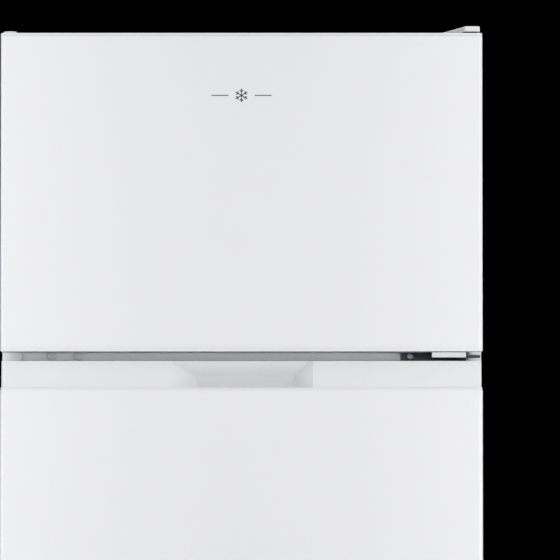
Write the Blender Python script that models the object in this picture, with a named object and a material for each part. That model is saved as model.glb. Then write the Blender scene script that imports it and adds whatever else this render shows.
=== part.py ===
"""Top-freezer refrigerator: an insulated cabinet with a freezer above a fridge compartment.

Metres, +Z up. The doors face -Y and are hinged on the right (+X). The origin is on the floor,
below the middle of the overall box. Run with: blender --background --python part.py
"""

import math

import bmesh
import bpy
from mathutils import Matrix, Vector, geometry

# ---- driving dimensions ----
WIDTH = 0.545  # doors and cabinet
DEPTH = 0.555  # door face to the condenser's rear-most wires
BASE_HEIGHT = 0.040  # floor to the cabinet's underside
FRIDGE_DOOR_HEIGHT = 1.0085
FREEZER_DOOR_HEIGHT = 0.3607
DOOR_SPLIT = 0.0108  # between the two doors
DOOR_LIFT = 0.002  # lower door above the cabinet's underside
TOP_STEP = 0.0017  # cabinet top above the upper door
DOOR_THICKNESS = 0.052
GASKET_SPACE = 0.012  # door to cabinet front
REAR_SPACE = 0.036  # back panel to the condenser's outer face

SHEET = 0.001  # steel sheet
LINER = 0.0015  # thermoformed plastic sheet
GAP = 0.0003  # between pieces that rest on each other
RUNNING = 0.0004  # radial clearance of a pin in its bore
SEGMENTS = 3  # steps of a rounded corner

# insulation between the outside and each compartment
SIDE_WALL = 0.045
REAR_WALL = 0.050
TOP_WALL = 0.0537
FLOOR_WALL = 0.045
MIDDLE_WALL = 0.070
FRIDGE_CEILING_DROP = 0.0285  # fridge ceiling below the lower door's top

SHELL_FLANGE = 0.014
SHELL_REAR_FLANGE = 0.012
SHELL_RADIUS = 0.005
LINER_RADIUS = 0.012

NICHE_DEPTH = 0.154  # compressor space, from the back panel's face
NICHE_HEIGHT = 0.185
NICHE_WALL = 0.040  # insulation round the compressor space

DOOR_RADIUS = 0.004
DOOR_HEM = 0.008
CAP_LIP = 0.0028  # the part of an end cap that shows
CAP_PLUG = 0.006  # the part of an end cap inside the skin
CAP_ROUND = 0.0014
LINER_EDGE = 0.0015
DIKE_INSET = 0.0675  # door's side edge to the raised rim of its inner liner
DIKE_WIDTH = 0.012
DIKE_HEIGHT = 0.028
DIKE_DRAFT = 0.002
DIKE_CLEAR_TOP = 0.016
DIKE_CLEAR_FLOOR = 0.018
DIKE_RADIUS = 0.020
PAN_SINK = 0.005
GASKET_INSET = 0.0107
GASKET_MARGIN = 0.008
GASKET_WIDTH = 0.017

HANDLE_HEIGHT = 0.033  # moulded cap along the lower door's top
HANDLE_LEAN = 0.004
HANDLE_UPRIGHT = 0.008
HANDLE_LIP = 0.003
HANDLE_STEP = 0.001
HANDLE_SET_BACK = 0.002
HANDLE_END_INSET = 0.0015
POCKET_LEFT = -0.083
POCKET_RIGHT = 0.081
POCKET_DEPTH = 0.021
POCKET_TOP_DEPTH = 0.0036  # the pocket's back wall leans forward to this depth
POCKET_RUN_LEFT = 0.0328
POCKET_RUN_RIGHT = 0.0226
WELL_DROP = 0.024
WELL_WALL = 0.002
WELL_INSET = 0.0004  # finger well inside the pocket's floor

HINGE_INSET = 0.010
HINGE_SET_BACK = 0.0215
PIN_RADIUS = 0.004
PIN_REACH = 0.0075
BORE_DEPTH = 0.0082
HINGE_PLATE = 0.0025
COVER_HEIGHT = 0.006
COVER_WALL = 0.0015
ARM_PLATE = 0.0025
ARM_FLANGE = 0.006
BRACKET_REACH = 0.0909  # middle hinge's bracket, in from the cabinet's side
BRACKET_HEIGHT = 0.0140
BRACKET_LIFT = 0.0005
BRACKET_SCREW_INSET = 0.0102  # from the bracket's end
BRACKET_SCREW_RADIUS = 0.0042
ARM_REACH = 0.057
ARM_FLANGE_INSET = 0.0185
ARM_DROP = 0.0042  # underside of the hinge arm above the lower door
SPACER_RADIUS = 0.0085

RAIL_RETURN = 0.012
RAIL_ABOVE = 0.0207  # centre rail above the upper door's lower edge
RAIL_BELOW = 0.0185
RAIL_CAP_WIDTH = 0.0205
RAIL_CAP_INSET = 0.002
RAIL_CAP_THICK = 0.004
PLUG_INSET = 0.0561  # first screw plug, in from the cabinet's side
PLUG_SPACING = 0.0305
PLUG_RADIUS = 0.0055
PLUG_LIFT = 0.0025  # above the middle of the gap between the doors
HOLE_PLUG_RADIUS = 0.0075
BASE_RAIL_HEIGHT = 0.032

SHELF_SET_BACK = 0.1085  # shelves behind the cabinet front
SHELF_REAR_CLEAR = 0.0155
SHELF_THICK = 0.004
SHELF_SIDE_CLEAR = 0.001
RIB_PROUD = 0.006
RIB_THICK = 0.004
SHELF_UPPER_SHARE = 0.655  # heights as shares of the compartment above the crisper
SHELF_LOWER_SHARE = 0.315
FREEZER_SHELF_SHARE = 0.5

CRISPER_HEIGHT = 0.196
CRISPER_SIDE_CLEAR = 0.014
CRISPER_FLOOR_CLEAR = 0.002
CRISPER_WALL = 0.002
CRISPER_RIM = 0.006
STEP_RISE = 0.180  # liner floor to the top of the step over the compressor

BIN_DEPTH = 0.0945
BIN_WALL = 0.002
BIN_RIM = 0.003
BIN_SIDE_CLEAR = 0.0015
BIN_PAN_CLEAR = 0.001

BOX_WIDTH = 0.185  # thermostat and lamp housing
BOX_SIDE_CLEAR = 0.0275
BOX_SET_BACK = 0.0335
BOX_LENGTH = 0.145
BOX_HEIGHT = 0.046
KNOB_INSET = 0.045
KNOB_RADIUS = 0.015
KNOB_HEIGHT = 0.012
SWITCH_INSET = 0.030
SWITCH_RADIUS = 0.004
SWITCH_REST_GAP = 0.0005
SWITCH_TAIL = 0.012
SWITCH_TRAVEL = 0.006

FOOT_SIDE = 0.0475  # in from the cabinet's side
FOOT_SET_BACK = 0.0335
FOOT_RADIUS = 0.016
FOOT_DISC = 0.010
STUD_RADIUS = 0.005
STUD_INSIDE = 0.010
ROLLER_RADIUS = 0.015
ROLLER_WIDTH = 0.021
ROLLER_SIDE = 0.0385
ROLLER_REAR = 0.0365
AXLE_RADIUS = 0.003
EAR_THICK = 0.002
PLATE_THICK = 0.0015

COMPRESSOR_X = -0.060
COMPRESSOR_REAR = 0.0795  # its middle, in from the back panel
COMPRESSOR_HALF_X = 0.085
COMPRESSOR_HALF_Y = 0.058
COMPRESSOR_LIFT = 0.009
RIM_SHARE = 0.45  # height of the welded rim, as a share of the compressor's
FOOT_PLATE_THICK = 0.003
GROMMET_RADIUS = 0.008
TRAY_HEIGHT = 0.030
TRAY_CEILING_CLEAR = 0.008
COIL_RADIUS = 0.0024
COIL_PASSES = 12
COIL_INSET = 0.0575
GLAND_X = 0.150
GLAND_NECK = 0.0065
COIL_LOW_CLEAR = 0.070
COIL_TOP_CLEAR = 0.080
WIRE_THICK = 0.0016
WIRE_COUNT = 26
WIRE_BAR = 0.006
WIRE_BAR_CLEAR = 0.012
BRACKET_OUT = 0.014
EVAPORATOR = 0.0012

# ---- levels and planes that follow from them ----
HALF = WIDTH / 2
FRONT = -DEPTH / 2
DOOR_REAR = FRONT + DOOR_THICKNESS
CABINET_FRONT = DOOR_REAR + GASKET_SPACE
PANEL_FACE = DEPTH / 2 - REAR_SPACE
SHELL_REAR = PANEL_FACE - SHEET - GAP
SEAT = DOOR_REAR - LINER - GAP  # rear of the door's skin and caps, under the liner's flange

FRIDGE_LOW = BASE_HEIGHT + DOOR_LIFT
FRIDGE_HIGH = FRIDGE_LOW + FRIDGE_DOOR_HEIGHT
FREEZER_LOW = FRIDGE_HIGH + DOOR_SPLIT
FREEZER_HIGH = FREEZER_LOW + FREEZER_DOOR_HEIGHT
CABINET_TOP = FREEZER_HIGH + TOP_STEP

CAVITY_HALF = HALF - SIDE_WALL
CAVITY_REAR = PANEL_FACE - REAR_WALL
FRIDGE_FLOOR = BASE_HEIGHT + FLOOR_WALL
FRIDGE_CEILING = FRIDGE_HIGH - FRIDGE_CEILING_DROP
FREEZER_FLOOR = FRIDGE_CEILING + MIDDLE_WALL
FREEZER_CEILING = CABINET_TOP - TOP_WALL
FLANGE_HALF = HALF - SHELL_FLANGE - GAP
RAIL_LOW = FRIDGE_HIGH - RAIL_BELOW
RAIL_HIGH = FREEZER_LOW + RAIL_ABOVE

NICHE_FRONT = PANEL_FACE - NICHE_DEPTH
NICHE_TOP = BASE_HEIGHT + NICHE_HEIGHT
STEP_FRONT = NICHE_FRONT - NICHE_WALL
STEP_TOP = FRIDGE_FLOOR + STEP_RISE
INSIDE_HALF = HALF - SHEET - GAP  # inside the shell's sides
PAN_TOP = BASE_HEIGHT + SHEET + GAP

HINGE_X = HALF - HINGE_INSET
HINGE_Y = FRONT + HINGE_SET_BACK
PLATE_LOW = CABINET_TOP + GAP
DIKE_FACE = DOOR_REAR + DIKE_HEIGHT
DIKE_HALF = HALF - DIKE_INSET
CRISPER_COVER_Z = STEP_TOP + 0.023
SHELF_REAR = CAVITY_REAR - SHELF_REAR_CLEAR
SHELF_HALF = CAVITY_HALF - SHELF_SIDE_CLEAR
SHELF_SPACE = FRIDGE_CEILING - CRISPER_COVER_Z
SHELF_UPPER_Z = CRISPER_COVER_Z + SHELF_UPPER_SHARE * SHELF_SPACE
SHELF_LOWER_Z = CRISPER_COVER_Z + SHELF_LOWER_SHARE * SHELF_SPACE
FREEZER_SHELF_Z = FREEZER_FLOOR + FREEZER_SHELF_SHARE * (FREEZER_CEILING - FREEZER_FLOOR)
FREEZER_DIKE = (FREEZER_FLOOR + DIKE_CLEAR_FLOOR, FREEZER_CEILING - DIKE_CLEAR_TOP)
FRIDGE_DIKE = (FRIDGE_FLOOR + DIKE_CLEAR_FLOOR, FRIDGE_CEILING - DIKE_CLEAR_TOP)

WIRE_FACE = DEPTH / 2 - WIRE_THICK
COIL_Y = WIRE_FACE - GAP - COIL_RADIUS
COIL_LOW = NICHE_TOP + COIL_LOW_CLEAR
COIL_HIGH = CABINET_TOP - COIL_TOP_CLEAR
COIL_HALF = HALF - COIL_INSET

# places across and along the cabinet
FOOT_X = HALF - FOOT_SIDE
FOOT_Y = CABINET_FRONT + FOOT_SET_BACK
ROLLER_X = HALF - ROLLER_SIDE
ROLLER_Y = PANEL_FACE - ROLLER_REAR
COMPRESSOR_Y = PANEL_FACE - COMPRESSOR_REAR
CABLE_GLAND = (GLAND_X, ROLLER_Y)
TRAY_LOW = NICHE_TOP - TRAY_CEILING_CLEAR - TRAY_HEIGHT
COMPRESSOR_LOW = BASE_HEIGHT + PLATE_THICK + GAP + COMPRESSOR_LIFT
COMPRESSOR_RIM = COMPRESSOR_LOW + RIM_SHARE * (TRAY_LOW - COMPRESSOR_LOW)
SHELF_FRONT = CABINET_FRONT + SHELF_SET_BACK
BOX_RIGHT = CAVITY_HALF - BOX_SIDE_CLEAR
BOX_LEFT = BOX_RIGHT - BOX_WIDTH
BOX_FRONT = CABINET_FRONT + BOX_SET_BACK
KNOB_X = BOX_LEFT + KNOB_INSET
KNOB_Z = FRIDGE_CEILING - BOX_HEIGHT / 2
SWITCH_X = BOX_RIGHT - SWITCH_INSET
SWITCH_Z = FRIDGE_DIKE[1] - DIKE_WIDTH / 2
BRACKET_LEFT = HALF - BRACKET_REACH
BRACKET_LOW = FRIDGE_HIGH + BRACKET_LIFT
ARM_LEFT = HALF - ARM_REACH
ARM_LOW = FRIDGE_HIGH + ARM_DROP
RAIL_CAP_LEFT = -HALF + RAIL_CAP_INSET
HANDLE_LOW = FRIDGE_HIGH - HANDLE_HEIGHT
POCKET_BACK = FRONT + HANDLE_SET_BACK + POCKET_DEPTH

# finish: colour, roughness, metallic
FINISHES = {
    "white_enamel": ((0.79, 0.79, 0.81), 0.28, 0.0),
    "white_plastic": ((0.74, 0.74, 0.76), 0.38, 0.0),
    "liner_plastic": ((0.80, 0.82, 0.83), 0.30, 0.0),
    "clear_plastic": ((0.72, 0.80, 0.84), 0.12, 0.0),
    "glass": ((0.70, 0.82, 0.80), 0.05, 0.0),
    "grey_rail": ((0.47, 0.47, 0.51), 0.45, 0.0),
    "grey_plastic": ((0.62, 0.62, 0.65), 0.45, 0.0),
    "dark_zinc": ((0.12, 0.12, 0.14), 0.40, 0.8),
    "bright_zinc": ((0.62, 0.62, 0.64), 0.32, 0.9),
    "black_paint": ((0.02, 0.02, 0.022), 0.45, 0.0),
    "black_plastic": ((0.03, 0.03, 0.032), 0.50, 0.0),
    "rubber_white": ((0.70, 0.70, 0.71), 0.60, 0.0),
    "foam": ((0.80, 0.70, 0.42), 0.90, 0.0),
    "aluminium": ((0.70, 0.71, 0.72), 0.35, 1.0),
}


# ---- helpers ----
def clear_scene():
    for obj in list(bpy.data.objects):
        bpy.data.objects.remove(obj, do_unlink=True)


def paint(obj, finish):
    """Gives the object a material of its own."""
    colour, roughness, metallic = FINISHES[finish]
    made = bpy.data.materials.new(f"{obj.name}_{finish}")
    made.use_nodes = True
    shader = made.node_tree.nodes["Principled BSDF"]
    shader.inputs["Base Color"].default_value = (*colour, 1.0)
    shader.inputs["Roughness"].default_value = roughness
    shader.inputs["Metallic"].default_value = metallic
    obj.data.materials.append(made)


def place(name, bm, finish, origin=(0, 0, 0)):
    """Makes an object of a mesh built at its real place, with the object's own origin at origin."""
    bmesh.ops.remove_doubles(bm, verts=bm.verts, dist=1e-6)
    bmesh.ops.translate(bm, verts=bm.verts, vec=-Vector(origin))
    mesh = bpy.data.meshes.new(name)
    bm.to_mesh(mesh)
    bm.free()
    mesh.shade_smooth()
    mesh.set_sharp_from_angle(angle=math.radians(35))
    obj = bpy.data.objects.new(name, mesh)
    obj.location = origin
    bpy.context.scene.collection.objects.link(obj)
    if finish:
        paint(obj, finish)
    return obj


def solid(name, bm, finish, origin=(0, 0, 0)):
    bmesh.ops.remove_doubles(bm, verts=bm.verts, dist=1e-6)
    bmesh.ops.recalc_face_normals(bm, faces=bm.faces)
    return place(name, bm, finish, origin)


def sheet(name, bm, finish, thickness, facing, outward):
    """Thickens an open surface. Its normals sum towards facing, and it grows along or against them."""
    bmesh.ops.remove_doubles(bm, verts=bm.verts, dist=1e-6)
    bmesh.ops.recalc_face_normals(bm, faces=bm.faces)
    total = sum((f.normal * f.calc_area() for f in bm.faces), Vector())
    if total.dot(Vector(facing)) < 0:
        bmesh.ops.reverse_faces(bm, faces=bm.faces)
    obj = place(name, bm, finish)
    wall = obj.modifiers.new("wall", "SOLIDIFY")
    wall.thickness = thickness
    wall.offset = 1.0 if outward else -1.0
    wall.use_even_offset = True
    return obj


def hide(cutter):
    cutter.hide_render = True
    cutter.display_type = "WIRE"


def combine(obj, other, operation):
    """Cuts or joins other with a Boolean, and leaves other as a hidden helper."""
    change = obj.modifiers.new(operation.lower(), "BOOLEAN")
    change.operation = operation
    change.object = other
    hide(other)


def cut(obj, cutter):
    combine(obj, cutter, "DIFFERENCE")


def join(obj, other):
    combine(obj, other, "UNION")


def soften(obj, width, segments=2):
    """Rounds every sharp edge."""
    rounded = obj.modifiers.new("rounded edges", "BEVEL")
    rounded.width = width
    rounded.segments = segments
    rounded.limit_method = "ANGLE"


def loft(bm, rows, ring=True, caps=(False, False), wrap=False):
    """Faces between neighbouring rows of points; a ring's row closes on itself."""
    lines = [[bm.verts.new(point) for point in row] for row in rows]
    pairs = list(zip(lines, lines[1:]))
    if wrap:
        pairs.append((lines[-1], lines[0]))
    for near, far in pairs:
        count = len(near)
        for i in range(count if ring else count - 1):
            j = (i + 1) % count
            bm.faces.new((near[i], near[j], far[j], far[i]))
    for wanted, line in zip(caps, (lines[0], lines[-1])):
        if wanted:
            bm.faces.new(line)
    return bm


def prism(bm, outline, along, start, end):
    """Extrudes a closed outline. along is the axis, and outline gives the other two in XYZ order."""
    def at(a, b, depth):
        point = [a, b]
        point.insert("XYZ".index(along), depth)
        return point

    face = bm.faces.new([bm.verts.new(at(a, b, start)) for a, b in outline])
    made = bmesh.ops.extrude_face_region(bm, geom=[face])["geom"]
    moved = [item for item in made if isinstance(item, bmesh.types.BMVert)]
    bmesh.ops.translate(bm, verts=moved, vec=at(0, 0, end - start))
    return bm


def block(bm, low, high):
    """A box from its lowest to its highest corner."""
    middle = (Vector(low) + Vector(high)) / 2
    size = Vector(high) - Vector(low)
    matrix = Matrix.Translation(middle) @ Matrix.Diagonal((*size, 1))
    bmesh.ops.create_cube(bm, size=1, matrix=matrix)
    return bm


def turned(bm, profile, centre, along="Z", sides=20, closed=False):
    """Revolves (radius, height) points about an axis through centre."""
    def ring(radius, height):
        points = []
        for k in range(sides):
            angle = math.tau * k / sides
            flat = [radius * math.cos(angle), radius * math.sin(angle)]
            flat.insert("XYZ".index(along), height)
            points.append(Vector(centre) + Vector(flat))
        return points

    rows = [ring(*point) for point in profile]
    return loft(bm, rows, caps=(not closed, not closed), wrap=closed)


def rod(bm, centre, radius, start, end, along="Z", sides=16):
    return turned(bm, [(radius, start), (radius, end)], centre, along, sides)


def arc(centre, radius, first, last, steps=SEGMENTS):
    """Points on a quarter or other part of a circle, from angle first to last in degrees."""
    points = []
    for k in range(steps + 1):
        angle = math.radians(first + (last - first) * k / steps)
        points.append((centre[0] + radius * math.cos(angle), centre[1] + radius * math.sin(angle)))
    return points


def rounded(low_a, high_a, low_b, high_b, radius, steps=SEGMENTS):
    """A closed rectangle with rounded corners, in two coordinates."""
    corners = (
        (high_a - radius, high_b - radius, 0),
        (low_a + radius, high_b - radius, 90),
        (low_a + radius, low_b + radius, 180),
        (high_a - radius, low_b + radius, 270),
    )
    return [p for a, b, turn in corners for p in arc((a, b), radius, turn, turn + 90, steps)]


def upright(half, low, high, y, radius):
    """A rounded rectangle standing in the plane y."""
    return [(x, y, z) for x, z in rounded(-half, half, low, high, radius)]


def level(low_x, high_x, low_y, high_y, z, radius):
    """A rounded rectangle lying at height z."""
    return [(x, y, z) for x, y in rounded(low_x, high_x, low_y, high_y, radius)]


def tray(name, box_x, box_y, box_z, finish, wall, radius, draft, rim):
    """An open-topped moulding with drafted sides and a rim turned out round its mouth."""
    mouth = [box_x[0] + rim, box_x[1] - rim, box_y[0] + rim, box_y[1] - rim]
    foot = [mouth[0] + draft, mouth[1] - draft, mouth[2] + draft, mouth[3] - draft]
    rows = [
        level(*foot, box_z[0], radius),
        level(*mouth, box_z[1], radius),
        level(*box_x, *box_y, box_z[1], radius + rim),
    ]
    bm = loft(bmesh.new(), rows, caps=(True, False))
    return sheet(name, bm, finish, wall, facing=(0, 0, -1), outward=False)


def through(points, radius, steps=6):
    """A path through points, each corner a smooth bend of the given radius."""
    bend = 0.5523  # handle length that makes a quarter of a circle
    points = [Vector(p) for p in points]
    path = [points[0]]
    for before, corner, after in zip(points, points[1:], points[2:]):
        back = (before - corner).normalized()
        ahead = (after - corner).normalized()
        start = corner + back * radius
        end = corner + ahead * radius
        handles = (start - back * radius * bend, end - ahead * radius * bend)
        path += geometry.interpolate_bezier(start, *handles, end, steps + 1)
    return path + [points[-1]]


def tube(name, path, radius, finish, sides=2):
    curve = bpy.data.curves.new(name, "CURVE")
    curve.dimensions = "3D"
    curve.bevel_depth = radius
    curve.bevel_resolution = sides
    curve.use_fill_caps = True
    spline = curve.splines.new("POLY")
    spline.points.add(len(path) - 1)
    for item, point in zip(spline.points, path):
        item.co = (*point, 1.0)
    obj = bpy.data.objects.new(name, curve)
    bpy.context.scene.collection.objects.link(obj)
    paint(obj, finish)
    return obj


# ---- cabinet ----
def outer_shell():
    """Left side, top and right side in one bent sheet, with a flange turned in at front and rear."""
    def path(inset, y):
        half = HALF - inset
        top = CABINET_TOP - inset
        radius = max(SHELL_RADIUS - inset, 0)
        left = arc((-half + radius, top - radius), radius, 180, 90)
        right = arc((half - radius, top - radius), radius, 90, 0)
        line = [(-half, BASE_HEIGHT), *left, *right, (half, BASE_HEIGHT)]
        return [(x, y, z) for x, z in line]

    rows = [
        path(SHELL_FLANGE, CABINET_FRONT),
        path(0, CABINET_FRONT),
        path(0, SHELL_REAR),
        path(SHELL_REAR_FLANGE, SHELL_REAR),
    ]
    bm = loft(bmesh.new(), rows, ring=False)
    sheet("outer_shell", bm, "white_enamel", SHEET, facing=(0, 0, 1), outward=False)


def back_panel():
    edge = 0.001
    low = (-HALF + edge, PANEL_FACE - SHEET, NICHE_TOP)
    high = (HALF - edge, PANEL_FACE, CABINET_TOP - edge)
    solid("back_panel", block(bmesh.new(), low, high), "bright_zinc")


def base_pan():
    """Floor sheet of the cabinet, stepped up over the compressor space."""
    line = [
        (CABINET_FRONT + SHEET + GAP, BASE_HEIGHT),
        (NICHE_FRONT, BASE_HEIGHT),
        (NICHE_FRONT, NICHE_TOP),
        (SHELL_REAR - SHEET - GAP, NICHE_TOP),
    ]
    rows = [[(x, y, z) for y, z in line] for x in (-INSIDE_HALF, INSIDE_HALF)]
    bm = loft(bmesh.new(), rows, ring=False)
    pan = sheet("base_pan", bm, "bright_zinc", SHEET, facing=(0, 0, 1), outward=True)
    holes = bmesh.new()
    for side in (-1, 1):
        centre = (side * FOOT_X, FOOT_Y, 0)
        reach = (BASE_HEIGHT - SHEET, BASE_HEIGHT + 2 * SHEET)
        rod(holes, centre, STUD_RADIUS + RUNNING, *reach)
    cut(pan, solid("base_pan_holes", holes, None))


def channel(name, low, high, finish):
    """A rail across the cabinet's front, with its upper and lower edges turned back."""
    back = CABINET_FRONT + RAIL_RETURN
    line = [(back, low), (CABINET_FRONT, low), (CABINET_FRONT, high), (back, high)]
    rows = [[(x, y, z) for y, z in line] for x in (-FLANGE_HALF, FLANGE_HALF)]
    bm = loft(bmesh.new(), rows, ring=False)
    sheet(name, bm, finish, SHEET, facing=(0, -1, 0), outward=False)


def rail_trim():
    """End cap and two screw plugs on the centre rail."""
    face = CABINET_FRONT - GAP
    middle = (FRIDGE_HIGH + FREEZER_LOW) / 2 + PLUG_LIFT
    low = (RAIL_CAP_LEFT, face - RAIL_CAP_THICK, FRIDGE_HIGH + GAP * 4)
    high = (RAIL_CAP_LEFT + RAIL_CAP_WIDTH, face, FREEZER_LOW + GASKET_MARGIN - 0.002)
    cap = solid("rail_end_cap", block(bmesh.new(), low, high), "white_plastic")
    soften(cap, 0.0012)
    dome = [(PLUG_RADIUS, 0), (PLUG_RADIUS, -0.0005), (0.0048, -0.0013)]
    dome += [(0.003, -0.0019), (0.001, -0.0021)]
    for k, name in enumerate(("screw_plug_outer", "screw_plug_inner")):
        x = -HALF + PLUG_INSET + k * PLUG_SPACING
        bm = turned(bmesh.new(), dome, (x, face, middle), "Y", 20)
        solid(name, bm, "grey_plastic")


def plinth():
    """Slotted kick strip under the cabinet's front."""
    half = FOOT_X - FOOT_RADIUS - 0.014
    front = CABINET_FRONT + GAP
    top = BASE_HEIGHT - GAP
    low = 0.010
    wall = 0.002
    back = front + 0.015
    outline = [
        (front, low),
        (front, top),
        (back, top),
        (back, top - wall),
        (front + wall, top - wall),
        (front + wall, low),
    ]
    strip = solid("plinth", prism(bmesh.new(), outline, "X", -half, half), "grey_plastic")
    slots = bmesh.new()
    count = 12
    pitch = 2 * half / count
    for k in range(count):
        x = -half + pitch * (k + 0.5)
        reach = pitch * 0.36
        slot_low = (x - reach, front - wall, low + 0.007)
        block(slots, slot_low, (x + reach, front + 2 * wall, low + 0.013))
    cut(strip, solid("plinth_slots", slots, None))


def compressor_plate():
    """Cross plate under the compressor, with an ear and an axle for each rear roller."""
    front = NICHE_FRONT + GAP
    rear = SHELL_REAR - SHEET - GAP
    low = BASE_HEIGHT
    top = BASE_HEIGHT + PLATE_THICK
    lip = 0.013
    outline = [
        (front, low),
        (rear, low),
        (rear, low + lip),
        (rear - PLATE_THICK, low + lip),
        (rear - PLATE_THICK, top),
        (front, top),
    ]
    bm = prism(bmesh.new(), outline, "X", -INSIDE_HALF, INSIDE_HALF)
    plate = solid("compressor_plate", bm, "bright_zinc")
    inner = ROLLER_X - ROLLER_WIDTH / 2 - EAR_THICK - GAP * 2
    outer = ROLLER_X + ROLLER_WIDTH / 2 + 0.003
    below = ROLLER_RADIUS - AXLE_RADIUS - 0.006
    for side, name in ((-1, "left"), (1, "right")):
        ends = sorted((side * inner, side * (inner + EAR_THICK)))
        reach = 0.015
        low_corner = (ends[0], ROLLER_Y - reach, below)
        high_corner = (ends[1], ROLLER_Y + reach, low + PLATE_THICK / 2)
        join(plate, solid(f"ear_{name}", block(bmesh.new(), low_corner, high_corner), None))
        centre = (0, ROLLER_Y, ROLLER_RADIUS)
        ends = sorted((side * (inner + EAR_THICK / 2), side * outer))
        join(plate, solid(f"axle_{name}", rod(bmesh.new(), centre, AXLE_RADIUS, *ends, "X"), None))
    centre = (CABLE_GLAND[0], CABLE_GLAND[1], 0)
    hole = rod(bmesh.new(), centre, GLAND_NECK + RUNNING, low - SHEET, top + SHEET)
    cut(plate, solid("gland_hole", hole, None))


def cable_gland():
    """Bush that the mains lead passes through, in the compressor plate."""
    top = BASE_HEIGHT + PLATE_THICK + GAP
    bore = 0.0035
    profile = [
        (bore, top + 0.003),
        (0.0085, top + 0.003),
        (0.0095, top + 0.002),
        (0.0095, top),
        (GLAND_NECK, top),
        (GLAND_NECK, BASE_HEIGHT - 0.005),
        (bore, BASE_HEIGHT - 0.005),
    ]
    solid("cable_gland", turned(bmesh.new(), profile, (*CABLE_GLAND, 0), closed=True), "black_plastic")


def fridge_outline(grow=0.0, chamfer=0.0):
    """Side view of the fridge compartment, stepped over the compressor space."""
    step = [(STEP_FRONT + grow, STEP_TOP - grow - chamfer)]
    if chamfer:
        step.append((STEP_FRONT + grow + chamfer, STEP_TOP - grow))
    return [
        (CABINET_FRONT, FRIDGE_FLOOR - grow),
        (STEP_FRONT + grow, FRIDGE_FLOOR - grow),
        *step,
        (CAVITY_REAR + grow, STEP_TOP - grow),
        (CAVITY_REAR + grow, FRIDGE_CEILING + grow),
        (CABINET_FRONT, FRIDGE_CEILING + grow),
    ]


def freezer_outline(grow=0.0):
    return [
        (CABINET_FRONT, FREEZER_FLOOR - grow),
        (CAVITY_REAR + grow, FREEZER_FLOOR - grow),
        (CAVITY_REAR + grow, FREEZER_CEILING + grow),
        (CABINET_FRONT, FREEZER_CEILING + grow),
    ]


def cabinet_liner(name, outline, flange_low, flange_high, rib_levels):
    """Thermoformed tub with rounded corners, a flange round its mouth and ribs for its shelves."""
    bm = prism(bmesh.new(), outline, "X", -CAVITY_HALF, CAVITY_HALF)
    mouth = [f for f in bm.faces if all(abs(v.co.y - CABINET_FRONT) < 1e-6 for v in f.verts)]
    bmesh.ops.delete(bm, geom=mouth, context="FACES")
    inner = [e for e in bm.edges if not e.is_boundary]
    bmesh.ops.bevel(bm, geom=inner, offset=LINER_RADIUS, segments=3, profile=0.5, affect="EDGES")
    rim = [e for e in bm.edges if e.is_boundary]
    made = bmesh.ops.extrude_edge_only(bm, edges=rim)["geom"]
    middle = (flange_low + flange_high) / 2
    for vert in (item for item in made if isinstance(item, bmesh.types.BMVert)):
        vert.co.x = math.copysign(FLANGE_HALF, vert.co.x)
        vert.co.z = flange_high if vert.co.z > middle else flange_low
    tub = sheet(name, bm, "liner_plastic", LINER, facing=(0, 1, 0), outward=True)
    ribs = bmesh.new()
    for top in rib_levels:
        for side in (-1, 1):
            ends = sorted((side * (CAVITY_HALF + LINER / 2), side * (CAVITY_HALF - RIB_PROUD)))
            low = (ends[0], SHELF_FRONT + 0.02, top - RIB_THICK)
            block(ribs, low, (ends[1], SHELF_REAR - 0.01, top))
    join(tub, solid(f"{name}_ribs", ribs, None))


def cabinet_foam():
    """Polyurethane between the shell and the two liners."""
    front = CABINET_FRONT + LINER + GAP
    rear = SHELL_REAR - SHEET - GAP
    outline = [
        (front, PAN_TOP),
        (NICHE_FRONT - SHEET - GAP, PAN_TOP),
        (NICHE_FRONT - SHEET - GAP, NICHE_TOP + SHEET + GAP),
        (rear, NICHE_TOP + SHEET + GAP),
        (rear, CABINET_TOP - SHELL_RADIUS),
        (front, CABINET_TOP - SHELL_RADIUS),
    ]
    bm = prism(bmesh.new(), outline, "X", -INSIDE_HALF, INSIDE_HALF)
    foam = solid("cabinet_foam", bm, "foam")
    room = LINER + EVAPORATOR + 2 * GAP  # liner and the evaporator pressed against it
    far = CABINET_FRONT - 0.01
    spaces = {
        "fridge_space": fridge_outline(room, LINER_RADIUS),
        "freezer_space": freezer_outline(room),
    }
    for name, outline in spaces.items():
        open_front = [(far if y == CABINET_FRONT else y, z) for y, z in outline]
        half = CAVITY_HALF + room
        cut(foam, solid(name, prism(bmesh.new(), open_front, "X", -half, half), None))
    rails = bmesh.new()
    back = CABINET_FRONT + RAIL_RETURN + GAP
    for low, high in ((RAIL_LOW, RAIL_HIGH), (PAN_TOP - GAP * 2, PAN_TOP + BASE_RAIL_HEIGHT)):
        half = FLANGE_HALF + GAP
        block(rails, (-half, far, low - GAP), (half, back, high + GAP))
    cut(foam, solid("rail_space", rails, None))
    studs = bmesh.new()
    for side in (-1, 1):
        top = BASE_HEIGHT + STUD_INSIDE + 0.004
        rod(studs, (side * FOOT_X, FOOT_Y, 0), STUD_RADIUS + 0.002, BASE_HEIGHT, top)
    cut(foam, solid("stud_space", studs, None))


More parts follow.
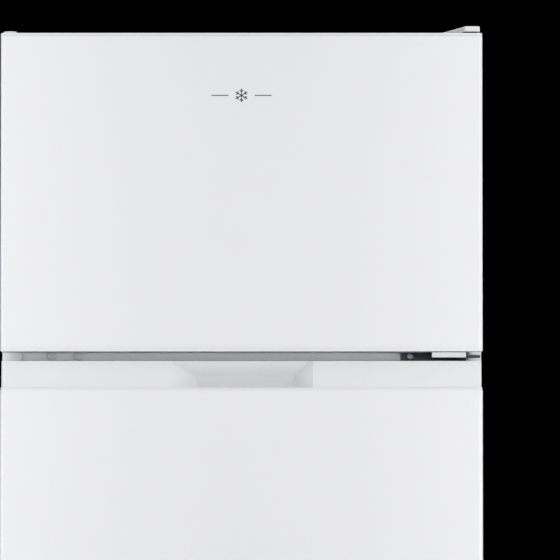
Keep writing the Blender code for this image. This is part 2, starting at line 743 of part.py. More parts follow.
def evaporators():
    """Roll-bond plates pressed against the liners: a sleeve round the freezer, a sheet behind the fridge."""
    grow = LINER + GAP
    low = FREEZER_FLOOR - grow
    high = FREEZER_CEILING + grow
    ends = (CABINET_FRONT + 0.035, CAVITY_REAR - 0.040)
    rows = [upright(CAVITY_HALF + grow, low, high, y, LINER_RADIUS) for y in ends]
    bm = loft(bmesh.new(), rows)
    sheet("freezer_evaporator", bm, "aluminium", EVAPORATOR, facing=(0, 0, 0), outward=True)
    low = (-CAVITY_HALF + 0.03, CAVITY_REAR + grow, SHELF_LOWER_Z)
    high = (CAVITY_HALF - 0.03, CAVITY_REAR + grow + EVAPORATOR, FRIDGE_CEILING - 0.03)
    solid("fridge_evaporator", block(bmesh.new(), low, high), "aluminium")


# ---- shelves, crisper and controls ----
def glass_shelf(name, z, rear=SHELF_REAR):
    low = (-SHELF_HALF, SHELF_FRONT, z + GAP)
    shelf = solid(name, block(bmesh.new(), low, (SHELF_HALF, rear, z + GAP + SHELF_THICK)), "glass")
    soften(shelf, 0.001, 1)


def crisper_drawer():
    half = CAVITY_HALF - CRISPER_SIDE_CLEAR
    low = FRIDGE_FLOOR + CRISPER_FLOOR_CLEAR
    tray(
        "crisper_drawer",
        (-half, half),
        (SHELF_FRONT + 0.005, STEP_FRONT - 0.005),
        (low, low + CRISPER_HEIGHT),
        "clear_plastic",
        CRISPER_WALL,
        0.012,
        0.004,
        CRISPER_RIM,
    )


def thermostat_housing():
    """Box under the fridge ceiling that holds the thermostat, the lamp and the door switch."""
    top = FRIDGE_CEILING - GAP
    low = (BOX_LEFT, BOX_FRONT, top - BOX_HEIGHT)
    high = (BOX_RIGHT, BOX_FRONT + BOX_LENGTH, top)
    box = solid("thermostat_housing", block(bmesh.new(), low, high), "white_plastic")
    soften(box, 0.003)
    centre = (SWITCH_X, BOX_FRONT, SWITCH_Z)
    depth = SWITCH_TAIL + SWITCH_TRAVEL
    bore = rod(bmesh.new(), centre, SWITCH_RADIUS + RUNNING, -0.01, depth, "Y")
    cut(box, solid("switch_bore", bore, None))


def lamp_lens():
    top = FRIDGE_CEILING - 2 * GAP - BOX_HEIGHT
    low = (BOX_LEFT + 0.055, BOX_FRONT + 0.055, top - 0.012)
    high = (BOX_LEFT + 0.125, BOX_FRONT + BOX_LENGTH - 0.020, top)
    lens = solid("lamp_lens", block(bmesh.new(), low, high), "clear_plastic")
    soften(lens, 0.004)


def thermostat_knob():
    """Dial with a raised grip bar, turning about its own axis."""
    centre = Vector((KNOB_X, BOX_FRONT - GAP, KNOB_Z))
    face = KNOB_HEIGHT / 2
    profile = [(KNOB_RADIUS, 0), (KNOB_RADIUS, -face + 0.001), (KNOB_RADIUS - 0.001, -face)]
    knob = solid("thermostat_knob", turned(bmesh.new(), profile, centre, "Y", 28), "white_plastic", centre)
    reach = KNOB_RADIUS - 0.002
    low = centre + Vector((-0.003, -KNOB_HEIGHT, -reach))
    grip = block(bmesh.new(), low, centre + Vector((0.003, -face + 0.002, reach)))
    join(knob, solid("knob_grip", grip, None))


def light_switch_plunger():
    """Pushed in by the lower door's raised rim, and springs out as that door opens."""
    tip = DIKE_FACE + SWITCH_REST_GAP
    centre = (SWITCH_X, 0, SWITCH_Z)
    tail = BOX_FRONT + SWITCH_TAIL
    profile = [(SWITCH_RADIUS - 0.001, tip), (SWITCH_RADIUS, tip + 0.001), (SWITCH_RADIUS, tail)]
    bm = turned(bmesh.new(), profile, centre, "Y", 16)
    solid("light_switch_plunger", bm, "white_plastic", (SWITCH_X, BOX_FRONT, SWITCH_Z))


# ---- hinges ----
def cover_outline(inset):
    """Plan of the top hinge's cover: narrow over the door, wider on the cabinet top."""
    right = HALF - 0.0027 - inset
    front = FRONT + 0.0055 + inset
    slope = inset * 1.25
    return [
        (right, front),
        (right, front + 0.162 - 2 * inset),
        (HALF - 0.0605 + slope, front + 0.162 - 2 * inset),
        (HALF - 0.0575 + slope, front + 0.132),
        (HALF - 0.0451 + slope, front + 0.090),
        (HALF - 0.0197 + slope, front),
    ]


def top_hinge():
    inset = COVER_WALL + 0.001
    plate = prism(bmesh.new(), cover_outline(inset), "Z", PLATE_LOW, PLATE_LOW + HINGE_PLATE)
    hinge = solid("top_hinge", plate, "dark_zinc")
    low = FREEZER_HIGH - PIN_REACH
    pin = rod(bmesh.new(), (HINGE_X, HINGE_Y, 0), PIN_RADIUS, low, PLATE_LOW + HINGE_PLATE / 2)
    join(hinge, solid("top_pin", pin, None))


def top_hinge_cover():
    def row(inset, z):
        return [(x, y, z) for x, y in cover_outline(inset)]

    top = PLATE_LOW + COVER_HEIGHT
    rows = [row(0, PLATE_LOW), row(0, top - 0.001), row(0.001, top)]
    bm = loft(bmesh.new(), rows, caps=(False, True))
    sheet("top_hinge_cover", bm, "white_plastic", COVER_WALL, facing=(0, 0, 1), outward=False)


def middle_hinge():
    """Bracket on the centre rail, its arm reaching between the doors with a pin up and a pin down."""
    face = CABINET_FRONT - GAP
    right = HALF - 0.002
    high = (right, face, BRACKET_LOW + BRACKET_HEIGHT)
    bracket = block(bmesh.new(), (BRACKET_LEFT, face - ARM_PLATE, BRACKET_LOW), high)
    hinge = solid("middle_hinge", bracket, "dark_zinc")
    arm_front = HINGE_Y - 0.012
    overlap = 0.001
    high = (right - 0.0005, face - overlap, ARM_LOW + ARM_PLATE)
    arm = block(bmesh.new(), (ARM_LEFT, arm_front, ARM_LOW), high)
    join(hinge, solid("hinge_arm", arm, None))
    flange_low = (ARM_LEFT + 0.0002, arm_front + 0.0002, ARM_LOW + overlap)
    flange_high = (HALF - ARM_FLANGE_INSET, arm_front + 0.0022, ARM_LOW + ARM_FLANGE)
    join(hinge, solid("arm_flange", block(bmesh.new(), flange_low, flange_high), None))
    centre = (HINGE_X, HINGE_Y, 0)
    pin = rod(bmesh.new(), centre, PIN_RADIUS, FRIDGE_HIGH - PIN_REACH, FREEZER_LOW + PIN_REACH)
    join(hinge, solid("middle_pins", pin, None))


def middle_hinge_screw():
    face = CABINET_FRONT - GAP - ARM_PLATE - GAP
    z = BRACKET_LOW + BRACKET_HEIGHT / 2
    radius = BRACKET_SCREW_RADIUS
    head = [(radius, 0), (radius, -0.0008), (0.76 * radius, -0.002), (0.3 * radius, -0.0024)]
    bm = turned(bmesh.new(), head, (BRACKET_LEFT + BRACKET_SCREW_INSET, face, z), "Y", 16)
    solid("middle_hinge_screw", bm, "bright_zinc")


def hinge_spacers():
    """White washers between the middle hinge's arm and each door."""
    spans = {
        "hinge_spacer_upper": (ARM_LOW + ARM_PLATE + GAP, FREEZER_LOW - GAP),
        "hinge_spacer_lower": (FRIDGE_HIGH + GAP, ARM_LOW - GAP),
    }
    bore = PIN_RADIUS + RUNNING
    for name, (low, high) in spans.items():
        profile = [(bore, low), (SPACER_RADIUS, low), (SPACER_RADIUS, high), (bore, high)]
        bm = turned(bmesh.new(), profile, (HINGE_X, HINGE_Y, 0), closed=True)
        solid(name, bm, "white_plastic")


def bottom_hinge():
    """Plate under the cabinet with the lower door's pin; the right foot's stud passes through it."""
    top = BASE_HEIGHT - GAP
    low = top - ARM_PLATE
    left = FOOT_X - 0.0245
    right = HALF - 0.001
    outline = [
        (left, FOOT_Y + 0.03),
        (left, CABINET_FRONT + 0.004),
        (HINGE_X - 0.010, HINGE_Y + 0.008),
        (HINGE_X - 0.008, HINGE_Y - 0.012),
        (right, HINGE_Y - 0.012),
        (right, FOOT_Y + 0.03),
    ]
    hinge = solid("bottom_hinge", prism(bmesh.new(), outline, "Z", low, top), "dark_zinc")
    collar = FRIDGE_LOW - GAP
    profile = [
        (0.0075, top - ARM_PLATE / 2),
        (0.0075, collar),
        (PIN_RADIUS, collar),
        (PIN_RADIUS, FRIDGE_LOW + PIN_REACH),
    ]
    pin = turned(bmesh.new(), profile, (HINGE_X, HINGE_Y, 0))
    join(hinge, solid("bottom_pin", pin, None))
    hole = rod(bmesh.new(), (FOOT_X, FOOT_Y, 0), STUD_RADIUS + RUNNING, low - SHEET, top + SHEET)
    cut(hinge, solid("stud_hole", hole, None))


# ---- feet and rollers ----
def feet_and_rollers():
    top = BASE_HEIGHT + STUD_INSIDE
    chamfer = 0.001
    foot = [
        (FOOT_RADIUS - chamfer, 0),
        (FOOT_RADIUS, chamfer),
        (FOOT_RADIUS, FOOT_DISC - chamfer),
        (FOOT_RADIUS - chamfer, FOOT_DISC),
        (STUD_RADIUS, FOOT_DISC),
        (STUD_RADIUS, top),
    ]
    bore = AXLE_RADIUS + RUNNING
    half = ROLLER_WIDTH / 2
    wheel = [
        (bore, -half),
        (ROLLER_RADIUS - chamfer, -half),
        (ROLLER_RADIUS, -half + chamfer),
        (ROLLER_RADIUS, half - chamfer),
        (ROLLER_RADIUS - chamfer, half),
        (bore, half),
    ]
    for side, name in ((-1, "left"), (1, "right")):
        centre = (side * FOOT_X, FOOT_Y, 0)
        solid(f"front_foot_{name}", turned(bmesh.new(), foot, centre), "black_plastic", centre)
        centre = (side * ROLLER_X, ROLLER_Y, ROLLER_RADIUS)
        bm = turned(bmesh.new(), wheel, centre, "X", closed=True)
        solid(f"rear_roller_{name}", bm, "black_plastic", centre)


# ---- cooling system ----
def compressor():
    """Hermetic compressor: two pressed shells welded at a rim, on a foot plate with four grommets."""
    floor = COMPRESSOR_LOW - COMPRESSOR_LIFT
    low = COMPRESSOR_LOW
    high = TRAY_LOW - GAP
    rim = COMPRESSOR_RIM
    levels = [(low, 0.55), (low + 0.006, 0.78), (low + 0.022, 0.93), (rim - 0.003, 0.96)]
    levels += [(rim - 0.0029, 1.0), (rim + 0.0029, 1.0), (rim + 0.003, 0.95)]
    levels += [(high - 0.030, 0.90), (high - 0.010, 0.72), (high, 0.40)]
    sides = 28

    def ring(z, share):
        points = []
        for k in range(sides):
            angle = math.tau * k / sides
            x = COMPRESSOR_X + share * COMPRESSOR_HALF_X * math.cos(angle)
            points.append((x, COMPRESSOR_Y + share * COMPRESSOR_HALF_Y * math.sin(angle), z))
        return points

    bm = loft(bmesh.new(), [ring(*item) for item in levels], caps=(True, True))
    body = solid("compressor", bm, "black_paint", (COMPRESSOR_X, COMPRESSOR_Y, 0))
    reach_x = COMPRESSOR_HALF_X + 0.006
    reach_y = COMPRESSOR_HALF_Y - 0.006
    corner = Vector((reach_x, reach_y, 0))
    middle = Vector((COMPRESSOR_X, COMPRESSOR_Y, 0))
    bed = low - 0.001
    plate_low = middle - corner + Vector((0, 0, bed))
    plate_high = middle + corner + Vector((0, 0, bed + FOOT_PLATE_THICK))
    join(body, solid("compressor_feet", block(bmesh.new(), plate_low, plate_high), None))
    grommets = bmesh.new()
    for sign_x in (-1, 1):
        for sign_y in (-1, 1):
            centre = middle + Vector((sign_x * (reach_x - 0.010), sign_y * (reach_y - 0.010), 0))
            rod(grommets, centre, GROMMET_RADIUS, floor, bed + FOOT_PLATE_THICK / 2)
    join(body, solid("compressor_grommets", grommets, None))


def drip_tray():
    half_y = COMPRESSOR_HALF_Y + 0.006
    tray(
        "drip_tray",
        (COMPRESSOR_X - 0.095, COMPRESSOR_X + 0.095),
        (COMPRESSOR_Y - half_y, COMPRESSOR_Y + half_y),
        (TRAY_LOW, TRAY_LOW + TRAY_HEIGHT),
        "black_plastic",
        0.002,
        0.010,
        0.004,
        0.003,
    )


def relay_cover():
    left = COMPRESSOR_X + COMPRESSOR_HALF_X + 0.0005
    low = (left, COMPRESSOR_Y - 0.028, BASE_HEIGHT + 0.035)
    high = (left + 0.034, COMPRESSOR_Y + 0.028, BASE_HEIGHT + 0.105)
    cover = solid("relay_cover", block(bmesh.new(), low, high), "black_plastic")
    soften(cover, 0.003)


def condenser_coil():
    """Serpentine tube on the back, its tail led down to the compressor."""
    pitch = (COIL_HIGH - COIL_LOW) / (COIL_PASSES - 1)
    corners = [(-COIL_HALF + 0.03, COIL_Y, COIL_HIGH)]
    for k in range(COIL_PASSES):
        z = COIL_HIGH - k * pitch
        side = 1 if k % 2 == 0 else -1
        if k > 0:
            corners.append((-side * COIL_HALF, COIL_Y, z))
        corners.append((side * COIL_HALF, COIL_Y, z))
    inlet = COMPRESSOR_Y + COMPRESSOR_HALF_Y + GAP * 2
    corners += [
        (-COIL_HALF, COIL_Y, COMPRESSOR_RIM),
        (COMPRESSOR_X, COIL_Y, COMPRESSOR_RIM),
        (COMPRESSOR_X, inlet, COMPRESSOR_RIM),
    ]
    bend = min(pitch / 2, 0.018)
    tube("condenser_coil", through(corners, bend, 4), COIL_RADIUS, "black_paint", 1)


def condenser_wires():
    """Upright wires across the coil, joined by a bar at each end and held off the panel by four brackets."""
    wire = WIRE_THICK
    pitch = 2 * COIL_HALF / (WIRE_COUNT - 1)
    columns = [-COIL_HALF - BRACKET_OUT]
    for k in range(WIRE_COUNT):
        x = -COIL_HALF + k * pitch
        columns += [x - wire / 2, x + wire / 2]
    columns.append(COIL_HALF + BRACKET_OUT)
    bottom = COIL_LOW - WIRE_BAR_CLEAR - WIRE_BAR
    top = COIL_HIGH + WIRE_BAR_CLEAR
    levels = [bottom, bottom + WIRE_BAR, top, top + WIRE_BAR]
    bm = bmesh.new()
    grid = [[bm.verts.new((x, DEPTH / 2, z)) for x in columns] for z in levels]
    for row in range(3):
        for col in range(len(columns) - 1):
            if row != 1 or col % 2 == 1:
                near, far = grid[row], grid[row + 1]
                bm.faces.new((near[col], near[col + 1], far[col + 1], far[col]))
    wires = sheet("condenser_wires", bm, "black_paint", wire, facing=(0, 1, 0), outward=False)
    brackets = bmesh.new()
    for side in (-1, 1):
        for z in (bottom + 0.001, top + 0.001):
            inner = COIL_HALF + COIL_RADIUS + GAP * 2
            ends = sorted((side * inner, side * (COIL_HALF + BRACKET_OUT - 0.001)))
            low = (ends[0], PANEL_FACE + GAP, z)
            block(brackets, low, (ends[1], DEPTH / 2 - wire / 2, z + WIRE_BAR - 0.002))
    join(wires, solid("condenser_brackets", brackets, None))


# ---- doors ----
def door_outline(z, inset=0.0, front=FRONT, rear=SEAT):
    """Plan of a door at height z, its two front corners rounded."""
    half = HALF - inset
    near = front + inset
    far = rear - inset
    radius = max(DOOR_RADIUS - inset, 0.001)
    left = arc((-half + radius, near + radius), radius, 180, 270)
    right = arc((half - radius, near + radius), radius, 270, 360)
    return [(x, y, z) for x, y in (*left, *right, (half, far), (-half, far))]


def door_skin(name, low, high):
    """Painted sheet over the door's front and sides, hemmed inwards at the rear."""
    def path(z):
        around = door_outline(z)
        left_rear, right_rear = around[-1], around[-2]
        start = (left_rear[0] + DOOR_HEM, left_rear[1], z)
        end = (right_rear[0] - DOOR_HEM, right_rear[1], z)
        return [start, left_rear, *around[:-2], right_rear, end]

    bm = loft(bmesh.new(), [path(low), path(high)], ring=False)
    return sheet(name, bm, "white_enamel", SHEET, facing=(0, -1, 0), outward=False)


def liner_rows(low, high, dike, sink=0.0):
    """Rings of a door's inner liner, from its flange to its pan; sink moves them under its surface."""
    dike_low, dike_high = dike

    def ring(inset, y, radius):
        return upright(DIKE_HALF - inset, dike_low + inset, dike_high - inset, y - sink, radius)

    edge = LINER_EDGE + sink
    crown = DIKE_WIDTH - DIKE_DRAFT
    return [
        upright(HALF - edge, low + edge, high - edge, DOOR_REAR - sink, DOOR_RADIUS),
        ring(sink, DOOR_REAR, DIKE_RADIUS),
        ring(DIKE_DRAFT + sink, DIKE_FACE, DIKE_RADIUS - DIKE_DRAFT),
        ring(crown - sink, DIKE_FACE, DIKE_RADIUS - crown),
        ring(DIKE_WIDTH - sink, DOOR_REAR - PAN_SINK, DIKE_RADIUS - DIKE_WIDTH),
    ]


def door_liner(name, low, high, dike):
    bm = loft(bmesh.new(), liner_rows(low, high, dike), caps=(False, True))
    return sheet(name, bm, "liner_plastic", LINER, facing=(0, 1, 0), outward=False)


def door_foam(name, low, high, dike):
    """Foam that fills the door between its skin, its caps and its inner liner."""
    half = HALF - SHEET - GAP
    front = FRONT + SHEET + GAP
    chamfer = DOOR_RADIUS
    rear = SEAT - SHEET - GAP
    rows = [
        upright(half - chamfer, low + GAP, high - GAP, front, DOOR_RADIUS),
        upright(half, low + GAP, high - GAP, front + chamfer, DOOR_RADIUS),
        upright(half, low + GAP, high - GAP, rear, DOOR_RADIUS),
    ]
    inner = liner_rows(low, high, dike, LINER + GAP)[1:]
    inner[0] = [(x, rear, z) for x, _, z in inner[0]]
    bm = loft(bmesh.new(), rows + inner, caps=(True, True))
    return solid(name, bm, "foam")


def door_gasket(name, low, high):
    """Magnetic seal: a base on the door's liner, a soft neck and a flat sealing face."""
    near = DOOR_REAR + GAP
    far = CABINET_FRONT - GAP
    depth = far - near
    section = [
        (0, near),
        (0, near + 0.30 * depth),
        (0.0035, near + 0.45 * depth),
        (0.0015, near + 0.65 * depth),
        (0.0015, far),
        (GASKET_WIDTH - 0.002, far),
        (GASKET_WIDTH - 0.002, near + 0.65 * depth),
        (GASKET_WIDTH - 0.004, near + 0.45 * depth),
        (GASKET_WIDTH, near + 0.30 * depth),
        (GASKET_WIDTH, near),
    ]
    rows = []
    for inset, y in section:
        half = HALF - GASKET_INSET - inset
        margin = GASKET_MARGIN + inset
        rows.append(upright(half, low + margin, high - margin, y, 0.001))
    bm = loft(bmesh.new(), rows, wrap=True)
    return solid(name, bm, "rubber_white")


def end_cap(name, outer, inward, finish):
    """Moulded cap with a rounded lip and a plug inside the skin; inward is +1 or -1 along Z."""
    fit = SHEET + GAP
    rows = [
        door_outline(outer, CAP_ROUND),
        door_outline(outer + inward * CAP_ROUND * 0.3, CAP_ROUND * 0.3),
        door_outline(outer + inward * CAP_ROUND),
        door_outline(outer + inward * CAP_LIP),
        door_outline(outer + inward * CAP_LIP, fit),
        door_outline(outer + inward * (CAP_LIP + CAP_PLUG), fit),
    ]
    cap = solid(name, loft(bmesh.new(), rows, caps=(True, True)), finish)
    pin_bore(cap, outer, inward)
    return cap


def pin_bore(cap, outer, inward):
    ends = sorted((outer - inward * 0.005, outer + inward * BORE_DEPTH))
    bore = rod(bmesh.new(), (HINGE_X, HINGE_Y, 0), PIN_RADIUS + RUNNING, *ends)
    cut(cap, solid(f"{cap.name}_bore", bore, None))


def handle_climb(z):
    """How far height z is up the leaning part of the handle strip, from 0 at its knee to 1 at its top."""
    knee = HANDLE_LOW + HANDLE_LIP + HANDLE_UPRIGHT
    return max(0.0, (z - knee) / (FRIDGE_HIGH - knee))


def handle_face(z):
    """Front of the handle strip at height z: upright low down, then leaning back to the door's top."""
    return FRONT + HANDLE_SET_BACK + HANDLE_LEAN * handle_climb(z)


def handle_cap():
    """Top cap of the lower door: a strip that leans back, with a finger pocket and a well behind its lip."""
    fit = SHEET + GAP

    def row(z, inset, front):
        return door_outline(z, inset, front - inset)

    knee = HANDLE_LOW + HANDLE_LIP + HANDLE_UPRIGHT
    lip = HANDLE_LOW + HANDLE_LIP
    round_off = 0.001
    rows = [
        row(FRIDGE_HIGH, HANDLE_END_INSET + round_off, handle_face(FRIDGE_HIGH) + round_off),
        row(FRIDGE_HIGH - round_off, HANDLE_END_INSET, handle_face(FRIDGE_HIGH - round_off)),
        row(knee, HANDLE_END_INSET * 0.7, handle_face(knee)),
        row(lip, HANDLE_END_INSET * 0.7, handle_face(lip)),
        row(lip, HANDLE_END_INSET * 0.3, handle_face(lip) - HANDLE_STEP),
        row(HANDLE_LOW, HANDLE_END_INSET * 0.3, handle_face(lip) - HANDLE_STEP),
        door_outline(HANDLE_LOW, fit),
        door_outline(HANDLE_LOW - CAP_PLUG, fit),
    ]
    cap = solid("fridge_door_top_cap", loft(bmesh.new(), rows, caps=(True, True)), "white_plastic")
    well_left = POCKET_LEFT + POCKET_RUN_LEFT
    well_right = POCKET_RIGHT - POCKET_RUN_RIGHT
    tub_front = FRONT + fit + WELL_INSET
    tub_low = (well_left - WELL_WALL, tub_front, lip - WELL_DROP - WELL_WALL)
    tub_high = (well_right + WELL_WALL, POCKET_BACK + WELL_WALL, HANDLE_LOW - CAP_PLUG / 2)
    join(cap, solid("pocket_tub", block(bmesh.new(), tub_low, tub_high), None))
    rows = [pocket_ring(z) for z in (lip, knee, FRIDGE_HIGH, FRIDGE_HIGH + 0.002)]
    cut(cap, solid("pocket", loft(bmesh.new(), rows, caps=(True, True)), None))
    well_low = (well_left + WELL_INSET, tub_front + WELL_WALL, lip - WELL_DROP)
    well_high = (well_right - WELL_INSET, POCKET_BACK - WELL_INSET, lip + 0.001)
    cut(cap, solid("finger_well", block(bmesh.new(), well_low, well_high), None))
    pin_bore(cap, FRIDGE_HIGH, -1)
    return tub_low, tub_high


def pocket_ring(z):
    """Plan of the pocket at height z: it runs in from each end to its back wall, which leans forward."""
    face = handle_face(z)
    depth = POCKET_DEPTH + (POCKET_TOP_DEPTH - POCKET_DEPTH) * handle_climb(z)
    out = 0.012
    return [
        (POCKET_LEFT, face - out, z),
        (POCKET_LEFT, face, z),
        (POCKET_LEFT + POCKET_RUN_LEFT * depth / POCKET_DEPTH, face + depth, z),
        (POCKET_RIGHT - POCKET_RUN_RIGHT * depth / POCKET_DEPTH, face + depth, z),
        (POCKET_RIGHT, face, z),
        (POCKET_RIGHT, face - out, z),
    ]


def door_bin(name, low, height):
    half = DIKE_HALF - DIKE_WIDTH - BIN_SIDE_CLEAR
    near = DOOR_REAR - PAN_SINK + BIN_PAN_CLEAR
    tray(
        name,
        (-half, half),
        (near, near + BIN_DEPTH),
        (low, low + height),
        "clear_plastic",
        BIN_WALL,
        0.008,
        0.002,
        BIN_RIM,
    )


def freezer_door():
    low, high = FREEZER_LOW, FREEZER_HIGH
    door_skin("freezer_door_skin", low + CAP_LIP + GAP, high - CAP_LIP - GAP)
    end_cap("freezer_door_top_cap", high, -1, "white_plastic")
    end_cap("freezer_door_bottom_cap", low, 1, "grey_plastic")
    inside = CAP_LIP + CAP_PLUG
    door_foam("freezer_door_foam", low + inside, high - inside, FREEZER_DIKE)
    door_liner("freezer_door_liner", low, high, FREEZER_DIKE)
    door_gasket("freezer_door_gasket", low, high)
    door_bin("freezer_door_bin", FREEZER_DIKE[0] + 0.022, 0.070)
    rim = HOLE_PLUG_RADIUS
    profile = [(rim, GAP), (rim, 0.0022), (rim - 0.001, 0.003)]
    bm = turned(bmesh.new(), profile, (-HINGE_X, HINGE_Y, high))
    solid("freezer_door_hole_plug", bm, "white_plastic")


def fridge_door():
    low, high = FRIDGE_LOW, FRIDGE_HIGH
    door_skin("fridge_door_skin", low + CAP_LIP + GAP, HANDLE_LOW - GAP)
    tub_low, tub_high = handle_cap()
    end_cap("fridge_door_bottom_cap", low, 1, "grey_plastic")
    foam = door_foam("fridge_door_foam", low + CAP_LIP + CAP_PLUG, HANDLE_LOW - CAP_PLUG, FRIDGE_DIKE)
    room = Vector((GAP, GAP, GAP))
    space_low = Vector(tub_low) - room + Vector((0, -0.002, 0))
    space_high = Vector(tub_high) + room + Vector((0, 0, 0.01))
    cut(foam, solid("tub_space", block(bmesh.new(), space_low, space_high), None))
    door_liner("fridge_door_liner", low, high, FRIDGE_DIKE)
    door_gasket("fridge_door_gasket", low, high)
    bin_low = FRIDGE_DIKE[0] + DIKE_WIDTH + 0.010
    span = FRIDGE_DIKE[1] - DIKE_WIDTH - bin_low
    door_bin("fridge_door_bottle_bin", bin_low, 0.115)
    door_bin("fridge_door_bin_middle", bin_low + 0.43 * span, 0.072)
    door_bin("fridge_door_bin_upper", bin_low + 0.72 * span, 0.072)


def main():
    clear_scene()
    outer_shell()
    back_panel()
    base_pan()
    channel("front_base_rail", PAN_TOP, PAN_TOP + BASE_RAIL_HEIGHT - GAP, "bright_zinc")
    channel("centre_rail", RAIL_LOW, RAIL_HIGH, "grey_rail")
    rail_trim()
    plinth()
    compressor_plate()
    cable_gland()
    base_flange = PAN_TOP + BASE_RAIL_HEIGHT
    shelf_levels = (SHELF_UPPER_Z, SHELF_LOWER_Z, CRISPER_COVER_Z)
    cabinet_liner("fridge_liner", fridge_outline(), base_flange, RAIL_LOW - GAP, shelf_levels)
    top_flange = CABINET_TOP - SHELL_FLANGE - GAP
    cabinet_liner("freezer_liner", freezer_outline(), RAIL_HIGH + GAP, top_flange, (FREEZER_SHELF_Z,))
    cabinet_foam()
    evaporators()
    glass_shelf("shelf_upper", SHELF_UPPER_Z)
    glass_shelf("shelf_lower", SHELF_LOWER_Z)
    glass_shelf("crisper_cover", CRISPER_COVER_Z)
    glass_shelf("freezer_shelf", FREEZER_SHELF_Z)
    crisper_drawer()
    thermostat_housing()
    lamp_lens()
    thermostat_knob()
    light_switch_plunger()
    top_hinge()
    top_hinge_cover()
    middle_hinge()
    middle_hinge_screw()
    hinge_spacers()
    bottom_hinge()
    feet_and_rollers()
    compressor()
    drip_tray()
    relay_cover()
    condenser_coil()
    condenser_wires()
    freezer_door()
    fridge_door()


main()
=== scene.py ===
"""Looks of a top-freezer refrigerator, modelled round its fixed frame of solids.

Metres, +Z up. The doors face -Y and are hinged on the right (+X). Every piece rides on the body
that it belongs to: the cabinet, a door, the crisper, the dial, the door switch, a foot or a roller.
"""

import math

import bmesh
import bpy
from bpy.props import FloatProperty, FloatVectorProperty, IntProperty, PointerProperty
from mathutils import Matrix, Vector


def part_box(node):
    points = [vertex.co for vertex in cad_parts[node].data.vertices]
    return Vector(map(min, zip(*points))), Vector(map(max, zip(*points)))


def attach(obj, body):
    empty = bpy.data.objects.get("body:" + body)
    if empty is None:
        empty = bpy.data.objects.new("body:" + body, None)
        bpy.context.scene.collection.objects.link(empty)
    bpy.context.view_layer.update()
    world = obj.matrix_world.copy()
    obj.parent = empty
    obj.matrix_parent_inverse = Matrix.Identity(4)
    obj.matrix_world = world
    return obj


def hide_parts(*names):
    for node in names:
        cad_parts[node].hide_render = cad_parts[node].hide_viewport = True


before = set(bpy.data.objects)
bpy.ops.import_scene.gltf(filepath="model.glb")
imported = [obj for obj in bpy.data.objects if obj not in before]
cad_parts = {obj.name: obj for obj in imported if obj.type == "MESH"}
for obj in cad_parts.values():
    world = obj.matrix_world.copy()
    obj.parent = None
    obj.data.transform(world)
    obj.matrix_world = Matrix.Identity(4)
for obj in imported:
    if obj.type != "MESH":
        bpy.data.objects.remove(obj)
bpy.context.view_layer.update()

BOX = {name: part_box(name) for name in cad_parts}

bl_info = {
    "name": "Top-freezer refrigerator",
    "version": (1, 0, 0),
    "blender": (4, 5, 0),
    "location": "View3D > Sidebar > Fridge",
    "description": "Doors, trims, fittings, cooling system and finishes of a refrigerator",
    "category": "Object",
}

NEAR = 1e-5  # how close two places count as the same
MM = 0.001
TURNS = {"X": (0, math.pi / 2, 0), "Y": (math.pi / 2, 0, 0), "Z": (0, 0, 0)}
AXES = {"X": 0, "Y": 1, "Z": 2}

FRONT = BOX["freezer_door_skin"][0].y
CABINET_FRONT = BOX["centre_rail"][0].y
HALF = BOX["outer_shell"][1].x
HINGE = (BOX["hinge_spacer_upper"][0] + BOX["hinge_spacer_upper"][1]) / 2
PIN_BORE = 0.0044  # radius of the bores that turn on the hinge pins
BORE_REACH = 0.0085


def srgb(code):
    """The linear colour of an sRGB hex value such as #a0b0c0."""
    parts = [int(code[i : i + 2], 16) / 255 for i in (1, 3, 5)]
    linear = [c / 12.92 if c <= 0.04045 else ((c + 0.055) / 1.055) ** 2.4 for c in parts]
    return (*linear, 1.0)


def colour(name, code, description):
    """A colour that the sidebar shows."""
    return FloatVectorProperty(
        name=name, description=description, subtype="COLOR", size=4, min=0, max=1, default=srgb(code)
    )


def length(name, default, description):
    """A size in metres that the sidebar shows."""
    return FloatProperty(name=name, description=description, unit="LENGTH", min=0, default=default)


class FridgeColours(bpy.types.PropertyGroup):
    """Colours of the refrigerator's finishes."""

    enamel: colour("Painted steel", "#e8e8eb", "Roller-coated white of the doors and the cabinet")
    moulded: colour("White mouldings", "#e1e2e4", "Handle strip, hinge cover and end caps")
    grey: colour("Grey mouldings", "#eaebee", "Lower end caps, plugs and kick strip")
    liner: colour("Inner liner", "#eceef0", "Thermoformed walls of both compartments")
    rail: colour("Rail paint", "#f0f0f5", "Rail between the doors")
    zinc: colour("Dark zinc", "#5c5f68", "Middle hinge and its screws")
    black: colour("Black enamel", "#17181a", "Compressor, condenser coil and wires")
    mark: colour("Printed mark", "#5b5c60", "Snowflake mark on the upper door")


class FridgeSizes(bpy.types.PropertyGroup):
    """Sizes of the details that finish the refrigerator."""

    sheet: length("Sheet", 0.001, "Thickness of the doors' painted steel")
    corner: length("Door corner", 0.004, "Radius of a door's upright front corners")
    hem: length("Hem", 0.008, "Width of the skin's return at the rear of a door")
    lip: length("Cap lip", 0.0028, "Height of the part of an end cap that shows")
    cap_round: length("Cap edge", 0.0014, "Radius of an end cap's outer edge")
    edge: length("Moulded edge", 0.0006, "Radius of a moulding's edges")
    pocket_left: FloatProperty(
        name="Pocket left", description="Left end of the finger pocket", default=-0.083, unit="LENGTH"
    )
    pocket_right: FloatProperty(
        name="Pocket right", description="Right end of the finger pocket", default=0.081, unit="LENGTH"
    )
    pocket_depth: length("Pocket depth", 0.021, "Depth of the finger pocket behind the strip's face")
    well_depth: length("Well depth", 0.0238, "Depth of the finger well behind the strip's lip")
    mark_width: length("Mark width", 0.068, "Width of the printed mark")
    mark_drop: length("Mark drop", 0.071, "Printed mark's middle below the upper door's top")
    dial_numbers: IntProperty(name="Dial numbers", default=5, min=1, description="Settings on the dial")


